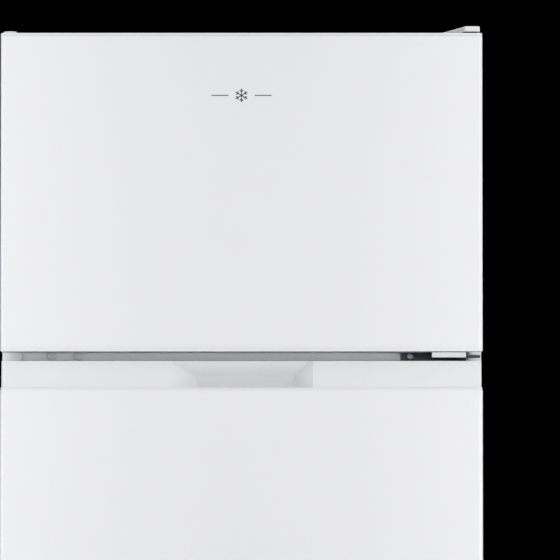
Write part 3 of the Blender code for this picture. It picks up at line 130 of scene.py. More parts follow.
class FridgeStudio(bpy.types.PropertyGroup):
    """Camera and light of the studio."""

    lens: FloatProperty(name="Lens", description="Focal length in mm", default=455.8, min=50)
    distance: length("Distance", 8.0, "Camera to the door faces")
    eye: length("Eye height", 0.715, "Camera above the floor")
    aim: length("Aim height", 1.1418, "Middle of the view, at the door faces")
    aside: length("Aside", 0.0436, "Camera to the right of the doors' middle")
    side_power: FloatProperty(name="Side lights", description="Watts", default=4.5, min=0)
    front_power: FloatProperty(name="Front light", description="Watts", default=13, min=0)
    slot_power: FloatProperty(
        name="Slot lights", description="Watts, shared unequally by both sides", default=24, min=0
    )
    top_power: FloatProperty(name="Top light", description="Watts", default=48, min=0)


# ---- materials ----
def add(tree, kind, inputs=None, **settings):
    """Adds a node with its settings; a socket given as an input is linked, and a value is set."""
    made = tree.nodes.new(kind)
    for name, value in settings.items():
        setattr(made, name, value)
    for key, value in (inputs or {}).items():
        if isinstance(value, bpy.types.NodeSocket):
            tree.links.new(value, made.inputs[key])
        else:
            made.inputs[key].default_value = value
    return made


def surface(name, base, mottle, grain, gloss, relief=0.0, fine=1.0, stretch=(1, 1, 1), **shader):
    """A surface whose colour darkens by mottle and whose roughness wanders, over patches of grain mm.

    relief is the height in mm of a ripple whose waves are fine mm long.
    """
    if name in bpy.data.materials:
        return bpy.data.materials[name]
    made = bpy.data.materials.new(name)
    made.use_nodes = True
    tree = made.node_tree
    main = tree.nodes["Principled BSDF"]
    for key, value in shader.items():
        main.inputs[key.replace("_", " ")].default_value = value
    place = add(tree, "ShaderNodeTexCoord").outputs["Object"]
    mapped = add(tree, "ShaderNodeMapping", {"Vector": place, "Scale": stretch}).outputs["Vector"]
    look = {"Vector": mapped, "Scale": 1 / (grain * MM), "Detail": 4.0}
    patches = add(tree, "ShaderNodeTexNoise", look)
    cloud = patches.outputs["Fac"]
    dark = tuple(c * (1 - mottle) for c in base[:3]) + (1.0,)
    tint = add(tree, "ShaderNodeMix", {"Factor": cloud, 6: dark, 7: base}, data_type="RGBA")
    tree.links.new(tint.outputs[2], main.inputs["Base Color"])
    rough = add(
        tree, "ShaderNodeMapRange", {"Value": cloud, "From Min": 0.2, "From Max": 0.8},
        interpolation_type="SMOOTHSTEP",
    )
    rough.inputs["To Min"].default_value, rough.inputs["To Max"].default_value = gloss
    tree.links.new(rough.outputs["Result"], main.inputs["Roughness"])
    if relief:
        look = {"Vector": mapped, "Scale": 1 / (fine * MM), "Detail": 2.0}
        waves = add(tree, "ShaderNodeTexNoise", look)
        bump = add(tree, "ShaderNodeBump", {"Height": waves.outputs["Fac"], "Distance": relief * MM})
        tree.links.new(bump.outputs["Normal"], main.inputs["Normal"])
    return made


def painted_steel():
    """Pre-painted steel, roller coated and baked: an even white gloss over a faint orange peel.

    The coat's waves are about 2 mm long and are drawn at 7 mm, so that they show.
    """
    base = bpy.context.scene.fridge_colours.enamel
    return surface(
        "painted_steel_roller_coated", base, 0.003, 260, (0.275, 0.285), 0.006, 7, Coat_Weight=0.1,
        Coat_Roughness=0.12,
    )


def white_abs():
    """Injection-moulded ABS: a satin white with the fine spark-eroded texture of its mould.

    The mould's pits are 0.1 mm across and are drawn at 1.5 mm, so that they show.
    """
    base = bpy.context.scene.fridge_colours.moulded
    return surface("abs_white_moulded", base, 0.015, 40, (0.34, 0.42), 0.012, 1.5)


def grey_abs():
    """Injection-moulded ABS in light grey, with the same satin as the white."""
    base = bpy.context.scene.fridge_colours.grey
    return surface("abs_grey_moulded", base, 0.02, 40, (0.38, 0.46), 0.012, 1.5)


def plug_polythene():
    """Moulded polyethylene of the screw plugs: a waxy light grey with a sharp highlight."""
    return surface("polyethylene_grey_moulded", srgb("#dcdde1"), 0.03, 5, (0.10, 0.16), 0.01, 1.5)


def liner_polystyrene():
    """Thermoformed high-impact polystyrene: glossy, with slow waves left by the vacuum forming."""
    base = bpy.context.scene.fridge_colours.liner
    return surface("polystyrene_thermoformed", base, 0.008, 160, (0.22, 0.26), 0.06, 30)


def clear_polystyrene():
    """Injection-moulded crystal polystyrene: clear with a cool tint and faint flow marks."""
    return surface(
        "polystyrene_crystal_moulded", srgb("#e6eef2"), 0.02, 50, (0.04, 0.10), 0.02, 18, IOR=1.59,
        Alpha=0.36,
    )


def toughened_glass():
    """Float glass, toughened: clear and flat, with a faint green tint."""
    return surface(
        "glass_toughened", srgb("#dff0ea"), 0.02, 120, (0.0, 0.03), IOR=1.52, Transmission_Weight=0.95
    )


def opal_polypropylene():
    """Opal polypropylene of the lamp's lens: milky, so that it spreads the light behind it."""
    return surface(
        "polypropylene_opal", srgb("#f6f7f4"), 0.02, 20, (0.30, 0.40), 0.02, 3, IOR=1.49,
        Transmission_Weight=0.35,
    )


def rail_paint():
    """Powder-coated steel in light grey: satin, with the coat's grain drawn at 2 mm to show."""
    base = bpy.context.scene.fridge_colours.rail
    return surface("steel_powder_coated_grey", base, 0.03, 25, (0.36, 0.46), 0.02, 2)


def dark_zinc():
    """Zinc-plated steel, black passivated: a dull grey metal clouded by the plating bath."""
    base = bpy.context.scene.fridge_colours.zinc
    return surface("zinc_black_passivated", base, 0.25, 6, (0.30, 0.46), 0.01, 1.2, Metallic=0.85)


def bright_zinc():
    """Zinc-plated steel, clear passivated: a cool bright metal with a slight cloud."""
    return surface(
        "zinc_clear_passivated", srgb("#c9cbd0"), 0.15, 7, (0.22, 0.36), 0.01, 1.2, Metallic=1.0
    )


def galvanised():
    """Hot-dip galvanised sheet: a cellular spangle of zinc crystals 12 mm across."""
    made = surface("steel_galvanised", srgb("#b4b7ba"), 0.10, 14, (0.32, 0.50), 0.01, 3, Metallic=0.9)
    tree = made.node_tree
    main = tree.nodes["Principled BSDF"]
    if not any(node.type == "TEX_VORONOI" for node in tree.nodes):
        place = add(tree, "ShaderNodeTexCoord").outputs["Object"]
        cells = add(tree, "ShaderNodeTexVoronoi", {"Vector": place, "Scale": 1 / (12 * MM)})
        tone = add(tree, "ShaderNodeSeparateColor", {"Color": cells.outputs["Color"]})
        tint = add(
            tree, "ShaderNodeMix",
            {"Factor": tone.outputs["Red"], 6: srgb("#a6a9ad"), 7: srgb("#c4c7ca")}, data_type="RGBA",
        )
        tree.links.new(tint.outputs[2], main.inputs["Base Color"])
    return made


def black_enamel():
    """Black stove enamel, dipped and baked: a soft gloss with the dip's slow runs."""
    base = bpy.context.scene.fridge_colours.black
    return surface("steel_black_stove_enamel", base, 0.20, 20, (0.28, 0.42), 0.03, 5)


def black_polypropylene():
    """Moulded black polypropylene: matt, with a grained mould drawn at 1.5 mm to show."""
    return surface("polypropylene_black_moulded", srgb("#222325"), 0.15, 12, (0.48, 0.60), 0.02, 1.5)


def soft_pvc():
    """Extruded soft PVC of a door seal: matt off-white, with a slight ripple from the die."""
    return surface("pvc_soft_extruded", srgb("#dcdddf"), 0.04, 15, (0.50, 0.62), 0.02, 2)


def copper():
    """Drawn copper tube, dulled by handling and brazing: warm, with darker clouds."""
    return surface("copper_drawn", srgb("#b8734a"), 0.35, 12, (0.28, 0.48), 0.01, 2, Metallic=1.0)


def foam():
    """Rigid polyurethane foam: a matt yellow skin over cells drawn at 2 mm to show."""
    return surface("polyurethane_rigid_foam", srgb("#e2cf9a"), 0.12, 8, (0.85, 0.95), 0.4, 2)


def aluminium():
    """Roll-bonded aluminium sheet: satin metal with fine lines along the rolling direction."""
    return surface(
        "aluminium_roll_bonded", srgb("#d6d8da"), 0.08, 10, (0.28, 0.40), 0.01, 1.5, (1, 0.05, 1),
        Metallic=1.0,
    )


def printing_ink():
    """Screen-printed ink: a flat dark grey film, slightly uneven where the screen left it."""
    base = bpy.context.scene.fridge_colours.mark
    return surface("ink_screen_printed", base, 0.06, 4, (0.40, 0.50))


# ---- modelling ----
def alone(obj=None):
    """Leaves edit mode and selects obj alone, or nothing."""
    if bpy.context.mode != "OBJECT":
        bpy.ops.object.mode_set(mode="OBJECT")
    bpy.ops.object.select_all(action="DESELECT")
    if obj:
        obj.select_set(True)
        bpy.context.view_layer.objects.active = obj
    return obj


def opened(name):
    """Names what was just added, puts its place in its mesh and opens it for editing."""
    obj = bpy.context.active_object
    obj.name = obj.data.name = name
    bpy.ops.object.transform_apply(location=True, rotation=True, scale=True)
    bpy.ops.object.mode_set(mode="EDIT")
    return obj


def block(name, low, high):
    """A box between two corners, open for editing."""
    alone()
    low, high = Vector(low), Vector(high)
    bpy.ops.mesh.primitive_cube_add(size=1, location=(low + high) / 2)
    bpy.context.active_object.scale = high - low
    return opened(name)


def bar(name, centre, radius, start, end, axis="Z", sides=32):
    """A round bar from start to end along an axis through centre, open for editing."""
    alone()
    middle = Vector(centre)
    middle[AXES[axis]] = (start + end) / 2
    bpy.ops.mesh.primitive_cylinder_add(
        vertices=sides, radius=radius, depth=abs(end - start), location=middle, rotation=TURNS[axis]
    )
    return opened(name)


def copied(name, node):
    """A merged copy of a CAD node's mesh, its flat faces whole again, open for editing."""
    alone()
    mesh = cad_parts[node].data.copy()
    mesh.materials.clear()
    obj = bpy.data.objects.new(name, mesh)
    mesh.name = name
    bpy.context.scene.collection.objects.link(obj)
    alone(obj)
    bpy.ops.mesh.customdata_custom_splitnormals_clear()
    bpy.ops.object.mode_set(mode="EDIT")
    bpy.ops.mesh.select_all(action="SELECT")
    bpy.ops.mesh.remove_doubles(threshold=NEAR)
    bpy.ops.mesh.dissolve_limited(angle_limit=math.radians(1))
    return obj


def heading(item):
    """The normal of a face, the direction of an edge, or the place of a vertex."""
    if isinstance(item, bmesh.types.BMFace):
        return item.normal
    if isinstance(item, bmesh.types.BMEdge):
        return (item.verts[1].co - item.verts[0].co).normalized()
    return item.co


def pick(kind, test):
    """Selects the open piece's faces, edges or vertices whose middle and heading pass a test."""
    bpy.ops.mesh.select_mode(type=kind)
    bpy.ops.mesh.select_all(action="DESELECT")
    mesh = bpy.context.edit_object.data
    bm = bmesh.from_edit_mesh(mesh)
    bm.normal_update()
    found = 0
    for item in {"FACE": bm.faces, "EDGE": bm.edges, "VERT": bm.verts}[kind]:
        corners = item.verts if kind != "VERT" else [item]
        middle = sum((v.co for v in corners), Vector()) / len(corners)
        if test(middle, heading(item)):
            item.select_set(True)
            found += 1
    if not found:
        raise RuntimeError(f"{mesh.name}: nothing to select for this step")
    bm.select_flush_mode()
    bmesh.update_edit_mesh(mesh)


def push(*by):
    """Extrudes what is selected by a distance along X, Y and Z."""
    bpy.ops.mesh.extrude_region_move(TRANSFORM_OT_translate={"value": by})


def bevel(offset, segments):
    """Rounds the selected edges, or the edges of the selected faces."""
    bpy.ops.mesh.bevel(offset=offset, segments=segments, affect="EDGES")


def inset(thickness, depth=0):
    """Insets the selected faces by a thickness and moves them out by a depth."""
    bpy.ops.mesh.inset(thickness=thickness, depth=depth)


def shift(*by):
    """Moves what is selected by a distance along X, Y and Z."""
    bpy.ops.transform.translate(value=by)


def resize(by, centre):
    """Scales what is selected about a centre."""
    bpy.ops.transform.resize(value=by, center_override=centre)


def slice_at(axis, *places):
    """Cuts the whole open piece with planes across an axis."""
    normal = Vector((0, 0, 0))
    normal[AXES[axis]] = 1
    for place in places:
        bpy.ops.mesh.select_all(action="SELECT")
        bpy.ops.mesh.bisect(plane_co=normal * place, plane_no=normal)


def modify(obj, kind, **settings):
    """Adds a modifier with its settings and applies it."""
    alone(obj)
    made = obj.modifiers.new(kind, kind)
    for name, value in settings.items():
        setattr(made, name, value)
    bpy.ops.object.modifier_apply(modifier=made.name)


def ease(obj, width, segments=2, angle=30):
    """Rounds every edge sharper than angle."""
    settings = {"width": width, "segments": segments, "limit_method": "ANGLE"}
    modify(obj, "BEVEL", angle_limit=math.radians(angle), harden_normals=False, **settings)


def carve(obj, *cutters):
    """Cuts the cutters out of obj and removes them."""
    for cutter in cutters:
        modify(obj, "BOOLEAN", operation="DIFFERENCE", object=cutter, solver="EXACT")
        bpy.data.objects.remove(cutter)


def united(obj, *others):
    """Joins separate bodies into one piece."""
    alone(obj)
    for other in others:
        other.select_set(True)
    bpy.ops.object.join()
    return obj


def finish(obj, material, body, replaces=(), angle=35):
    """Points the faces outwards, shades the piece, gives it its material and its body."""
    alone(obj)
    bpy.ops.object.mode_set(mode="EDIT")
    bpy.ops.mesh.select_all(action="SELECT")
    bpy.ops.mesh.normals_make_consistent(inside=False)
    bpy.ops.object.mode_set(mode="OBJECT")
    bpy.ops.object.shade_smooth_by_angle(angle=math.radians(angle))
    modify(obj, "WEIGHTED_NORMAL", keep_sharp=True)
    obj.data.materials.clear()
    obj.data.materials.append(material)
    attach(obj, body)
    if replaces:
        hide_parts(*replaces)
    return obj


def pipe(name, points, radius, sides=3, bend=True):
    """A round wire or tube along a smooth path, as a mesh."""
    alone()
    line = bpy.data.curves.new(name, "CURVE")
    line.dimensions = "3D"
    line.bevel_depth = radius
    line.bevel_resolution = sides
    line.use_fill_caps = True
    spline = line.splines.new("NURBS" if bend else "POLY")
    spline.points.add(len(points) - 1)
    for point, place in zip(spline.points, points):
        point.co = (*place, 1)
    if bend:
        spline.order_u = 3
        spline.use_endpoint_u = True
        spline.resolution_u = 6
    obj = bpy.data.objects.new(name, line)
    bpy.context.scene.collection.objects.link(obj)
    alone(obj)
    bpy.ops.object.convert(target="MESH")
    return bpy.context.active_object


def rounded(corners, radius, steps=8):
    """A path through corners, each turned on an arc of a radius."""
    path = [Vector(corners[0])]
    for before, at, after in zip(corners, corners[1:], corners[2:]):
        at = Vector(at)
        back, on = (Vector(before) - at), (Vector(after) - at)
        turn = math.pi - back.angle(on)
        reach = min(radius * math.tan(turn / 2), back.length * 0.48, on.length * 0.48)
        start, end = at + back.normalized() * reach, at + on.normalized() * reach
        for k in range(steps + 1):
            t = k / steps
            path.append(start.lerp(at, t).lerp(at.lerp(end, t), t))
    path.append(Vector(corners[-1]))
    return path


def spread(obj, offsets):
    """Adds copies of the piece at offsets from it, in the same mesh."""
    copies = []
    for by in offsets:
        alone(obj)
        bpy.ops.object.duplicate()
        copy = bpy.context.active_object
        copy.location = by
        copies.append(copy)
    alone(obj)
    united(obj, *copies)
    bpy.ops.object.transform_apply(location=True, rotation=True, scale=True)
    return obj


def recast(name, node, material, width, body="cabinet", angle=40):
    """A CAD node's shape with its edges rounded."""
    obj = copied(name, node)
    ease(obj, width, 2, 50)
    return finish(obj, material, body, [node], angle)


def screw(name, centre, radius, axis="Y", toward=-1):
    """A pan-head screw with a crossed recess; it points along axis, its head toward one side."""
    place = Vector(centre)
    index = AXES[axis]
    seat = place[index]
    top = seat + toward * radius * 0.55
    head = bar(name, place, radius, seat, top, axis, 24)
    pick("FACE", lambda p, n: n[index] * toward > 0.9)
    bevel(radius * 0.35, 4)
    cutters = []
    for k in range(2):
        half = Vector((radius * 0.13,) * 3)
        half[(index + 1 + k) % 3] = radius * 0.52
        half[index] = radius * 0.30
        middle = place.copy()
        middle[index] = top
        cutters.append(block(f"{name}_cross_{k}", middle - half, middle + half))
    carve(head, *cutters)
    return head


# ---- doors ----
def door_panel(door, sizes):
    """Painted skin of a door: front and sides bent from one sheet, hemmed inwards at the rear."""
    node = f"{door}_skin"
    low, high = BOX[node]
    panel = block(f"{door}_panel", low, high)
    pick("FACE", lambda p, n: abs(n.z) > 0.5 or n.y > 0.5)
    bpy.ops.mesh.delete(type="FACE")
    pick("EDGE", lambda p, d: abs(d.z) > 0.9 and p.y < low.y + NEAR)
    bevel(sizes.corner, 8)
    for side in (-1, 1):
        pick("EDGE", lambda p, d: abs(d.z) > 0.9 and p.y > high.y - NEAR and p.x * side > 0)
        push(-side * sizes.hem, 0, 0)
    modify(panel, "SOLIDIFY", thickness=sizes.sheet, offset=-1)
    finish(panel, painted_steel(), door, [node])


def end_trim(door, end, material, sizes):
    """Moulded end cap of a door: a rounded lip, and a plug that enters the skin."""
    node = f"{door}_{end}_cap"
    low, high = (corner.copy() for corner in BOX[node])
    inward = -1 if end == "top" else 1
    plug = high.z - low.z - sizes.lip
    if inward > 0:
        high.z = low.z + sizes.lip
        outer = low.z
    else:
        low.z = high.z - sizes.lip
        outer = high.z
    trim = block(f"{door}_{end}_trim", low, high)
    pick("EDGE", lambda p, d: abs(d.z) > 0.9 and p.y < low.y + NEAR)
    bevel(sizes.corner, 8)
    pick("EDGE", lambda p, d: abs(p.z - outer) < NEAR)
    bevel(sizes.cap_round, 4)
    pick("FACE", lambda p, n: n.z * inward > 0.9)
    inset(sizes.sheet + 0.0004)
    push(0, 0, inward * plug)
    bore = bar("pin_bore", HINGE, PIN_BORE, outer - inward * MM, outer + inward * BORE_REACH)
    carve(trim, bore)
    finish(trim, material, door, [node])


class FRIDGE_OT_doors(bpy.types.Operator):
    """Painted skins of both doors, with their moulded end caps"""

    bl_idname = "fridge.doors"
    bl_label = "Door panels"

    def execute(self, context):
        sizes = context.scene.fridge_sizes
        for door in ("freezer_door", "fridge_door"):
            door_panel(door, sizes)
            end_trim(door, "bottom", grey_abs(), sizes)
        end_trim("freezer_door", "top", white_abs(), sizes)
        low, high = BOX["freezer_door_hole_plug"]
        centre = (low + high) / 2
        plug = bar("hinge_hole_plug", centre, (high.x - low.x) / 2, low.z, high.z)
        pick("EDGE", lambda p, d: p.z > high.z - NEAR)
        bevel(0.001, 3)
        names = ["freezer_door_hole_plug"]
        finish(plug, white_abs(), "freezer_door", names)
        return {"FINISHED"}


class FRIDGE_OT_handle_strip(bpy.types.Operator):
    """Moulded strip along the lower door's top, with its finger pocket and the well behind its lip"""

    bl_idname = "fridge.handle_strip"
    bl_label = "Handle strip"

    lip_height = 0.003
    upright = 0.008
    lean = 0.004
    set_back = 0.001
    run_left = 0.0328
    run_right = 0.0226
    top_depth = 0.0036
    crease_drop = 0.016
    crease_depth = 0.0185

    def execute(self, context):
        sizes = context.scene.fridge_sizes
        low, high = (corner.copy() for corner in BOX["fridge_door_top_cap"])
        low.z = BOX["fridge_door_skin"][1].z
        low.y += self.set_back
        lip = low.z + self.lip_height
        ledge = lip + 0.0003
        knee = lip + self.upright
        crease = high.z - self.crease_drop
        strip = block("handle_strip", low, high)
        slice_at("Z", lip, ledge, knee, crease)
        self.shape_face(low, high, lip, knee, crease)
        pick("EDGE", lambda p, d: abs(d.z) > 0.3 and p.y < low.y + self.lean + NEAR)
        bevel(sizes.corner, 8)
        inner = (sizes.pocket_left + self.run_left, sizes.pocket_right - self.run_right)
        slice_at("X", sizes.pocket_left, *inner, sizes.pocket_right)
        self.shape_pocket(sizes, low, high, ledge, knee, crease, inner)
        self.sink_well(sizes, low, ledge, inner)
        carve(strip, bar("pin_bore", HINGE, PIN_BORE, high.z - BORE_REACH, high.z + MM))
        ease(strip, sizes.edge * 0.7, 3, 12)
        finish(strip, white_abs(), "fridge_door", ["fridge_door_top_cap"], 20)
        return {"FINISHED"}

    def shape_face(self, low, high, lip, knee, crease):
        """Leans the face back above its knee and brings its lower lip forward."""
        span = high.z - knee
        pick("VERT", lambda p, d: p.z > lip + NEAR)
        resize((0.997, 1, 1), (0, 0, 0))
        for place in (crease, high.z):
            pick("VERT", lambda p, d: abs(p.z - place) < NEAR and p.y < low.y + NEAR)
            shift(0, self.lean * (place - knee) / span, 0)
        pick("VERT", lambda p, d: p.z < lip + NEAR and p.y < low.y + NEAR)
        shift(0, -self.set_back, 0)

    def shape_pocket(self, sizes, low, high, ledge, knee, crease, inner):
        """Carries the face back between the pocket's ends; its ends run in more where it is deeper."""
        deep = sizes.pocket_depth
        back = low.y + deep
        rows = ((ledge, deep), (knee, deep), (crease, self.crease_depth), (high.z, self.top_depth))
        for place, depth in rows:
            leant = self.lean * max(place - knee, 0) / (high.z - knee)
            for x, run in zip(inner, (-self.run_left, self.run_right)):
                pick(
                    "VERT",
                    lambda p, d: abs(p.z - place) < NEAR and abs(p.x - x) < NEAR
                    and p.y < back - 0.001 and p.y < low.y + leant + 0.001,
                )
                shift(run * (1 - depth / deep), depth, 0)

    def sink_well(self, sizes, low, ledge, inner):
        """Sinks the finger well into the pocket's floor."""
        pick(
            "FACE",
            lambda p, n: abs(n.z) > 0.9 and abs(p.z - ledge) < 0.001
            and inner[0] < p.x < inner[1] and p.y < low.y + sizes.pocket_depth,
        )
        inset(0.0025)
        push(0, 0, -sizes.well_depth)


class FRIDGE_OT_mark(bpy.types.Operator):
    """Printed snowflake with a thin line at each side, on the upper door"""

    bl_idname = "fridge.mark"
    bl_label = "Printed mark"

    film = 0.00006
    stroke = 0.0011
    reach = 0.0078

    def execute(self, context):
        sizes = context.scene.fridge_sizes
        middle = Vector((0, FRONT - self.film / 2, BOX["freezer_door_top_cap"][1].z - sizes.mark_drop))
        strokes = [self.line(middle, Vector((0, 0, 1)), self.reach * 2)]
        for k in range(3):
            angle = math.pi * k / 3
            along = Vector((math.sin(angle), 0, math.cos(angle)))
            if k:
                strokes.append(self.line(middle, along, self.reach * 2))
            for end in (-1, 1):
                for lean in (-1, 1):
                    turned = angle + lean * math.pi / 4
                    twig = Vector((math.sin(turned), 0, math.cos(turned))) * end
                    start = middle + along * end * self.reach * 0.52
                    strokes.append(self.line(start + twig * 0.0014, twig, 0.0030))
        inner = self.reach * 1.9
        half = (sizes.mark_width / 2 - inner) / 2
        for side in (-1, 1):
            centre = middle + Vector((side * (inner + half), 0, 0))
            strokes.append(self.line(centre, Vector((1, 0, 0)), half * 2))
        mark = united(*strokes)
        finish(mark, printing_ink(), "freezer_door")
        return {"FINISHED"}

    def line(self, centre, along, reach):
        """One printed stroke."""
        half = Vector((reach / 2, self.film / 2, self.stroke / 2))
        stroke = block("freezer_mark", centre - half, centre + half)
        angle = math.atan2(along.z, along.x)
        bpy.ops.mesh.select_all(action="SELECT")
        bpy.ops.transform.rotate(value=angle, orient_axis="Y", center_override=centre)
        return stroke


# ---- between the doors ----
class FRIDGE_OT_centre_rail(bpy.types.Operator):
    """Painted rail between the doors, with its end cap and two screw plugs"""

    bl_idname = "fridge.centre_rail"
    bl_label = "Centre rail"

    def execute(self, context):
        rail = copied("rail_between_doors", "centre_rail")
        ease(rail, 0.0004, 2)
        finish(rail, rail_paint(), "cabinet", ["centre_rail"])
        low, high = BOX["rail_end_cap"]
        cap = block("rail_end_moulding", low, high)
        pick("EDGE", lambda p, d: abs(d.y) > 0.9 and p.x < low.x + NEAR)
        bevel(0.004, 6)
        pick("EDGE", lambda p, d: abs(d.y) < 0.5 and p.y < low.y + NEAR)
        bevel(0.0011, 4)
        finish(cap, white_abs(), "cabinet", ["rail_end_cap"])
        for name in ("screw_plug_outer", "screw_plug_inner"):
            self.plug(name)
        return {"FINISHED"}

    def plug(self, node):
        """Domed plug with a thin rim, pushed over a screw in the rail."""
        low, high = BOX[node]
        radius = (high.x - low.x) / 2
        dome = bar(f"{node}_dome", (low + high) / 2, radius, low.y + 0.0011, high.y, "Y", 40)
        pick("FACE", lambda p, n: n.y < -0.9)
        inset(radius * 0.14)
        for share, rise in ((0.97, 0.0005), (0.80, 0.0004), (0.62, 0.0002)):
            push(0, -rise, 0)
            resize((share, 1, share), (low + high) / 2)
        finish(dome, plug_polythene(), "cabinet", [node], 50)


class FRIDGE_OT_middle_hinge(bpy.types.Operator):
    """Bracket between the doors with its screw, the cover of its arm and the spacers on its pins"""

    bl_idname = "fridge.middle_hinge"
    bl_label = "Middle hinge"

    cover_left = 0.0572
    cover_right = 0.0185
    cover_front = 0.0124

    def execute(self, context):
        hinge = copied("hinge_bracket", "middle_hinge")
        ease(hinge, 0.0005, 2)
        head_low, head_high = BOX["middle_hinge_screw"]
        centre = (head_low + head_high) / 2
        finish(hinge, dark_zinc(), "cabinet", ["middle_hinge"])
        centre.y = head_high.y
        head = screw("hinge_screw", centre, (head_high.x - head_low.x) / 2)
        finish(head, bright_zinc(), "cabinet", ["middle_hinge_screw"])
        self.arm_cover()
        for end in ("upper", "lower"):
            self.spacer(f"hinge_spacer_{end}")
        return {"FINISHED"}

    def arm_cover(self):
        """Moulded strip clipped over the front of the hinge's arm."""
        arm_low = BOX["hinge_spacer_lower"][1].z
        front = HINGE.y - self.cover_front
        left, right = HALF - self.cover_left, HALF - self.cover_right
        low = (left, front, arm_low + 0.0002)
        cover = block("hinge_arm_cover", low, (right, front + 0.0016, arm_low + 0.0062))
        pick("EDGE", lambda p, d: p.y < front + NEAR)
        bevel(0.0005, 3)
        finish(cover, white_abs(), "cabinet")

    def spacer(self, node):
        """Moulded washer with rounded edges."""
        low, high = BOX[node]
        radius = (high.x - low.x) / 2
        washer = bar(f"{node}_washer", HINGE, radius, low.z, high.z, "Z", 40)
        pick("EDGE", lambda p, d: abs(d.z) < 0.5)
        bevel(0.0006, 3)
        carve(washer, bar("washer_bore", HINGE, PIN_BORE, low.z - MM, high.z + MM))
        finish(washer, white_abs(), "cabinet", [node])


class FRIDGE_OT_top_hinge(bpy.types.Operator):
    """Upper hinge's plate and its moulded cover on the cabinet's top"""

    bl_idname = "fridge.top_hinge"
    bl_label = "Top hinge"

    def execute(self, context):
        plate = copied("top_hinge_plate", "top_hinge")
        ease(plate, 0.0003, 2)
        finish(plate, dark_zinc(), "cabinet", ["top_hinge"])
        cover = copied("top_hinge_hood", "top_hinge_cover")
        ease(cover, 0.0004, 3)
        finish(cover, white_abs(), "cabinet", ["top_hinge_cover"])
        return {"FINISHED"}


# ---- doors, inside ----
class FRIDGE_OT_seals(bpy.types.Operator):
    """Magnetic seals on the rear of both doors, each with folded bellows"""

    bl_idname = "fridge.seals"
    bl_label = "Door seals"

    width = 0.017
    folds = ((0.14, 0.0), (0.28, 0.0), (0.40, 0.0036), (0.52, 0.0012), (0.64, 0.0036), (0.76, 0.0010))

    def execute(self, context):
        for door in ("freezer_door", "fridge_door"):
            low, high = BOX[f"{door}_gasket"]
            middle = (low + high) / 2
            seal = block(f"{door}_seal", low, high)
            pick("FACE", lambda p, n: abs(n.y) > 0.9)
            inset(self.width)
            bpy.ops.mesh.bridge_edge_loops()
            rows = [(low.y + share * (high.y - low.y), squeeze) for share, squeeze in self.folds]
            slice_at("Y", *(row[0] for row in rows))
            full = (high - low) / 2

            def outside(p):
                return max(abs(p.x - middle.x) - full.x, abs(p.z - middle.z) - full.z) > -MM

            for y, squeeze in rows:
                for outer in (True, False):
                    half = full - (0 if outer else self.width) * Vector((1, 0, 1))
                    by = -squeeze if outer else squeeze
                    pick("VERT", lambda p, d: abs(p.y - y) < NEAR and outside(p) == outer)
                    share = (1 + by / half.x, 1, 1 + by / half.z)
                    resize(share, middle)
            ease(seal, 0.0005, 2)
            finish(seal, soft_pvc(), door, [f"{door}_gasket"])
        return {"FINISHED"}


class FRIDGE_OT_liners(bpy.types.Operator):
    """Thermoformed liners of both compartments and both doors, with the fridge's drain trough"""

    bl_idname = "fridge.liners"
    bl_label = "Liners"

    trough_half = 0.115
    trough_deep = 0.016
    trough_high = 0.018

    def execute(self, context):
        for name in ("freezer", "fridge"):
            liner = copied(f"{name}_compartment", f"{name}_liner")
            rear = self.rear_wall(liner)
            pick("FACE", lambda p, n: n.y < -0.9 and p.y > rear - NEAR)
            inset(0.045)
            inset(0.006, 0.0012)
            finish(liner, liner_polystyrene(), "cabinet", [f"{name}_liner"], 40)
        for door in ("freezer_door", "fridge_door"):
            node = f"{door}_liner"
            recast(f"{door}_inner", node, liner_polystyrene(), 0.0004, door)
        self.drain()
        return {"FINISHED"}

    def rear_wall(self, liner):
        """Y of the widest upright face that looks out of the compartment."""
        bm = bmesh.from_edit_mesh(liner.data)
        walls = [face for face in bm.faces if face.normal.y < -0.9]
        return max(walls, key=lambda face: face.calc_area()).calc_center_median().y

    def drain(self):
        """Trough that gathers defrost water on the rear wall."""
        rear = BOX["shelf_upper"][1].y + 0.0135
        z = BOX["crisper_cover"][1].z + 0.012
        half = self.trough_half
        left = (-half, rear - self.trough_deep, z)
        trough = block("drain_trough", left, (half, rear, z + self.trough_high))
        pick("EDGE", lambda p, d: abs(d.x) > 0.9 and p.y < rear - 0.015 and p.z < z + NEAR)
        bevel(0.009, 5)
        pick("FACE", lambda p, n: n.z > 0.9)
        inset(0.0016)
        push(0, 0, -0.012)
        bpy.ops.transform.resize(value=(0.5, 0.6, 1))
        ease(trough, 0.0005, 2)
        finish(trough, liner_polystyrene(), "cabinet", ())


class FRIDGE_OT_door_bins(bpy.types.Operator):
    """Clear bins on both doors, each with a white guard along its front"""

    bl_idname = "fridge.door_bins"
    bl_label = "Door bins"

    def execute(self, context):
        fridge_bins = ("bin_upper", "bin_middle", "bottle_bin")
        for node in ("freezer_door_bin", *(f"fridge_door_{name}" for name in fridge_bins)):
            body = "_".join(node.split("_")[:2])
            low, high = BOX[node]
            recast(f"{node}_tub", node, clear_polystyrene(), 0.0005, body)
            rim = (low.x + 0.012, high.y + 0.0002, high.z - 0.020)
            guard = block(f"{node}_guard", rim, (high.x - 0.012, high.y + 0.0018, high.z - 0.004))
            pick("EDGE", lambda p, d: abs(d.y) > 0.9)
            bevel(0.006, 6)
            pick("FACE", lambda p, n: n.y > 0.9)
            inset(0.0022, -0.0005)
            ease(guard, 0.0003, 2)
            finish(guard, white_abs(), body, ())
        return {"FINISHED"}


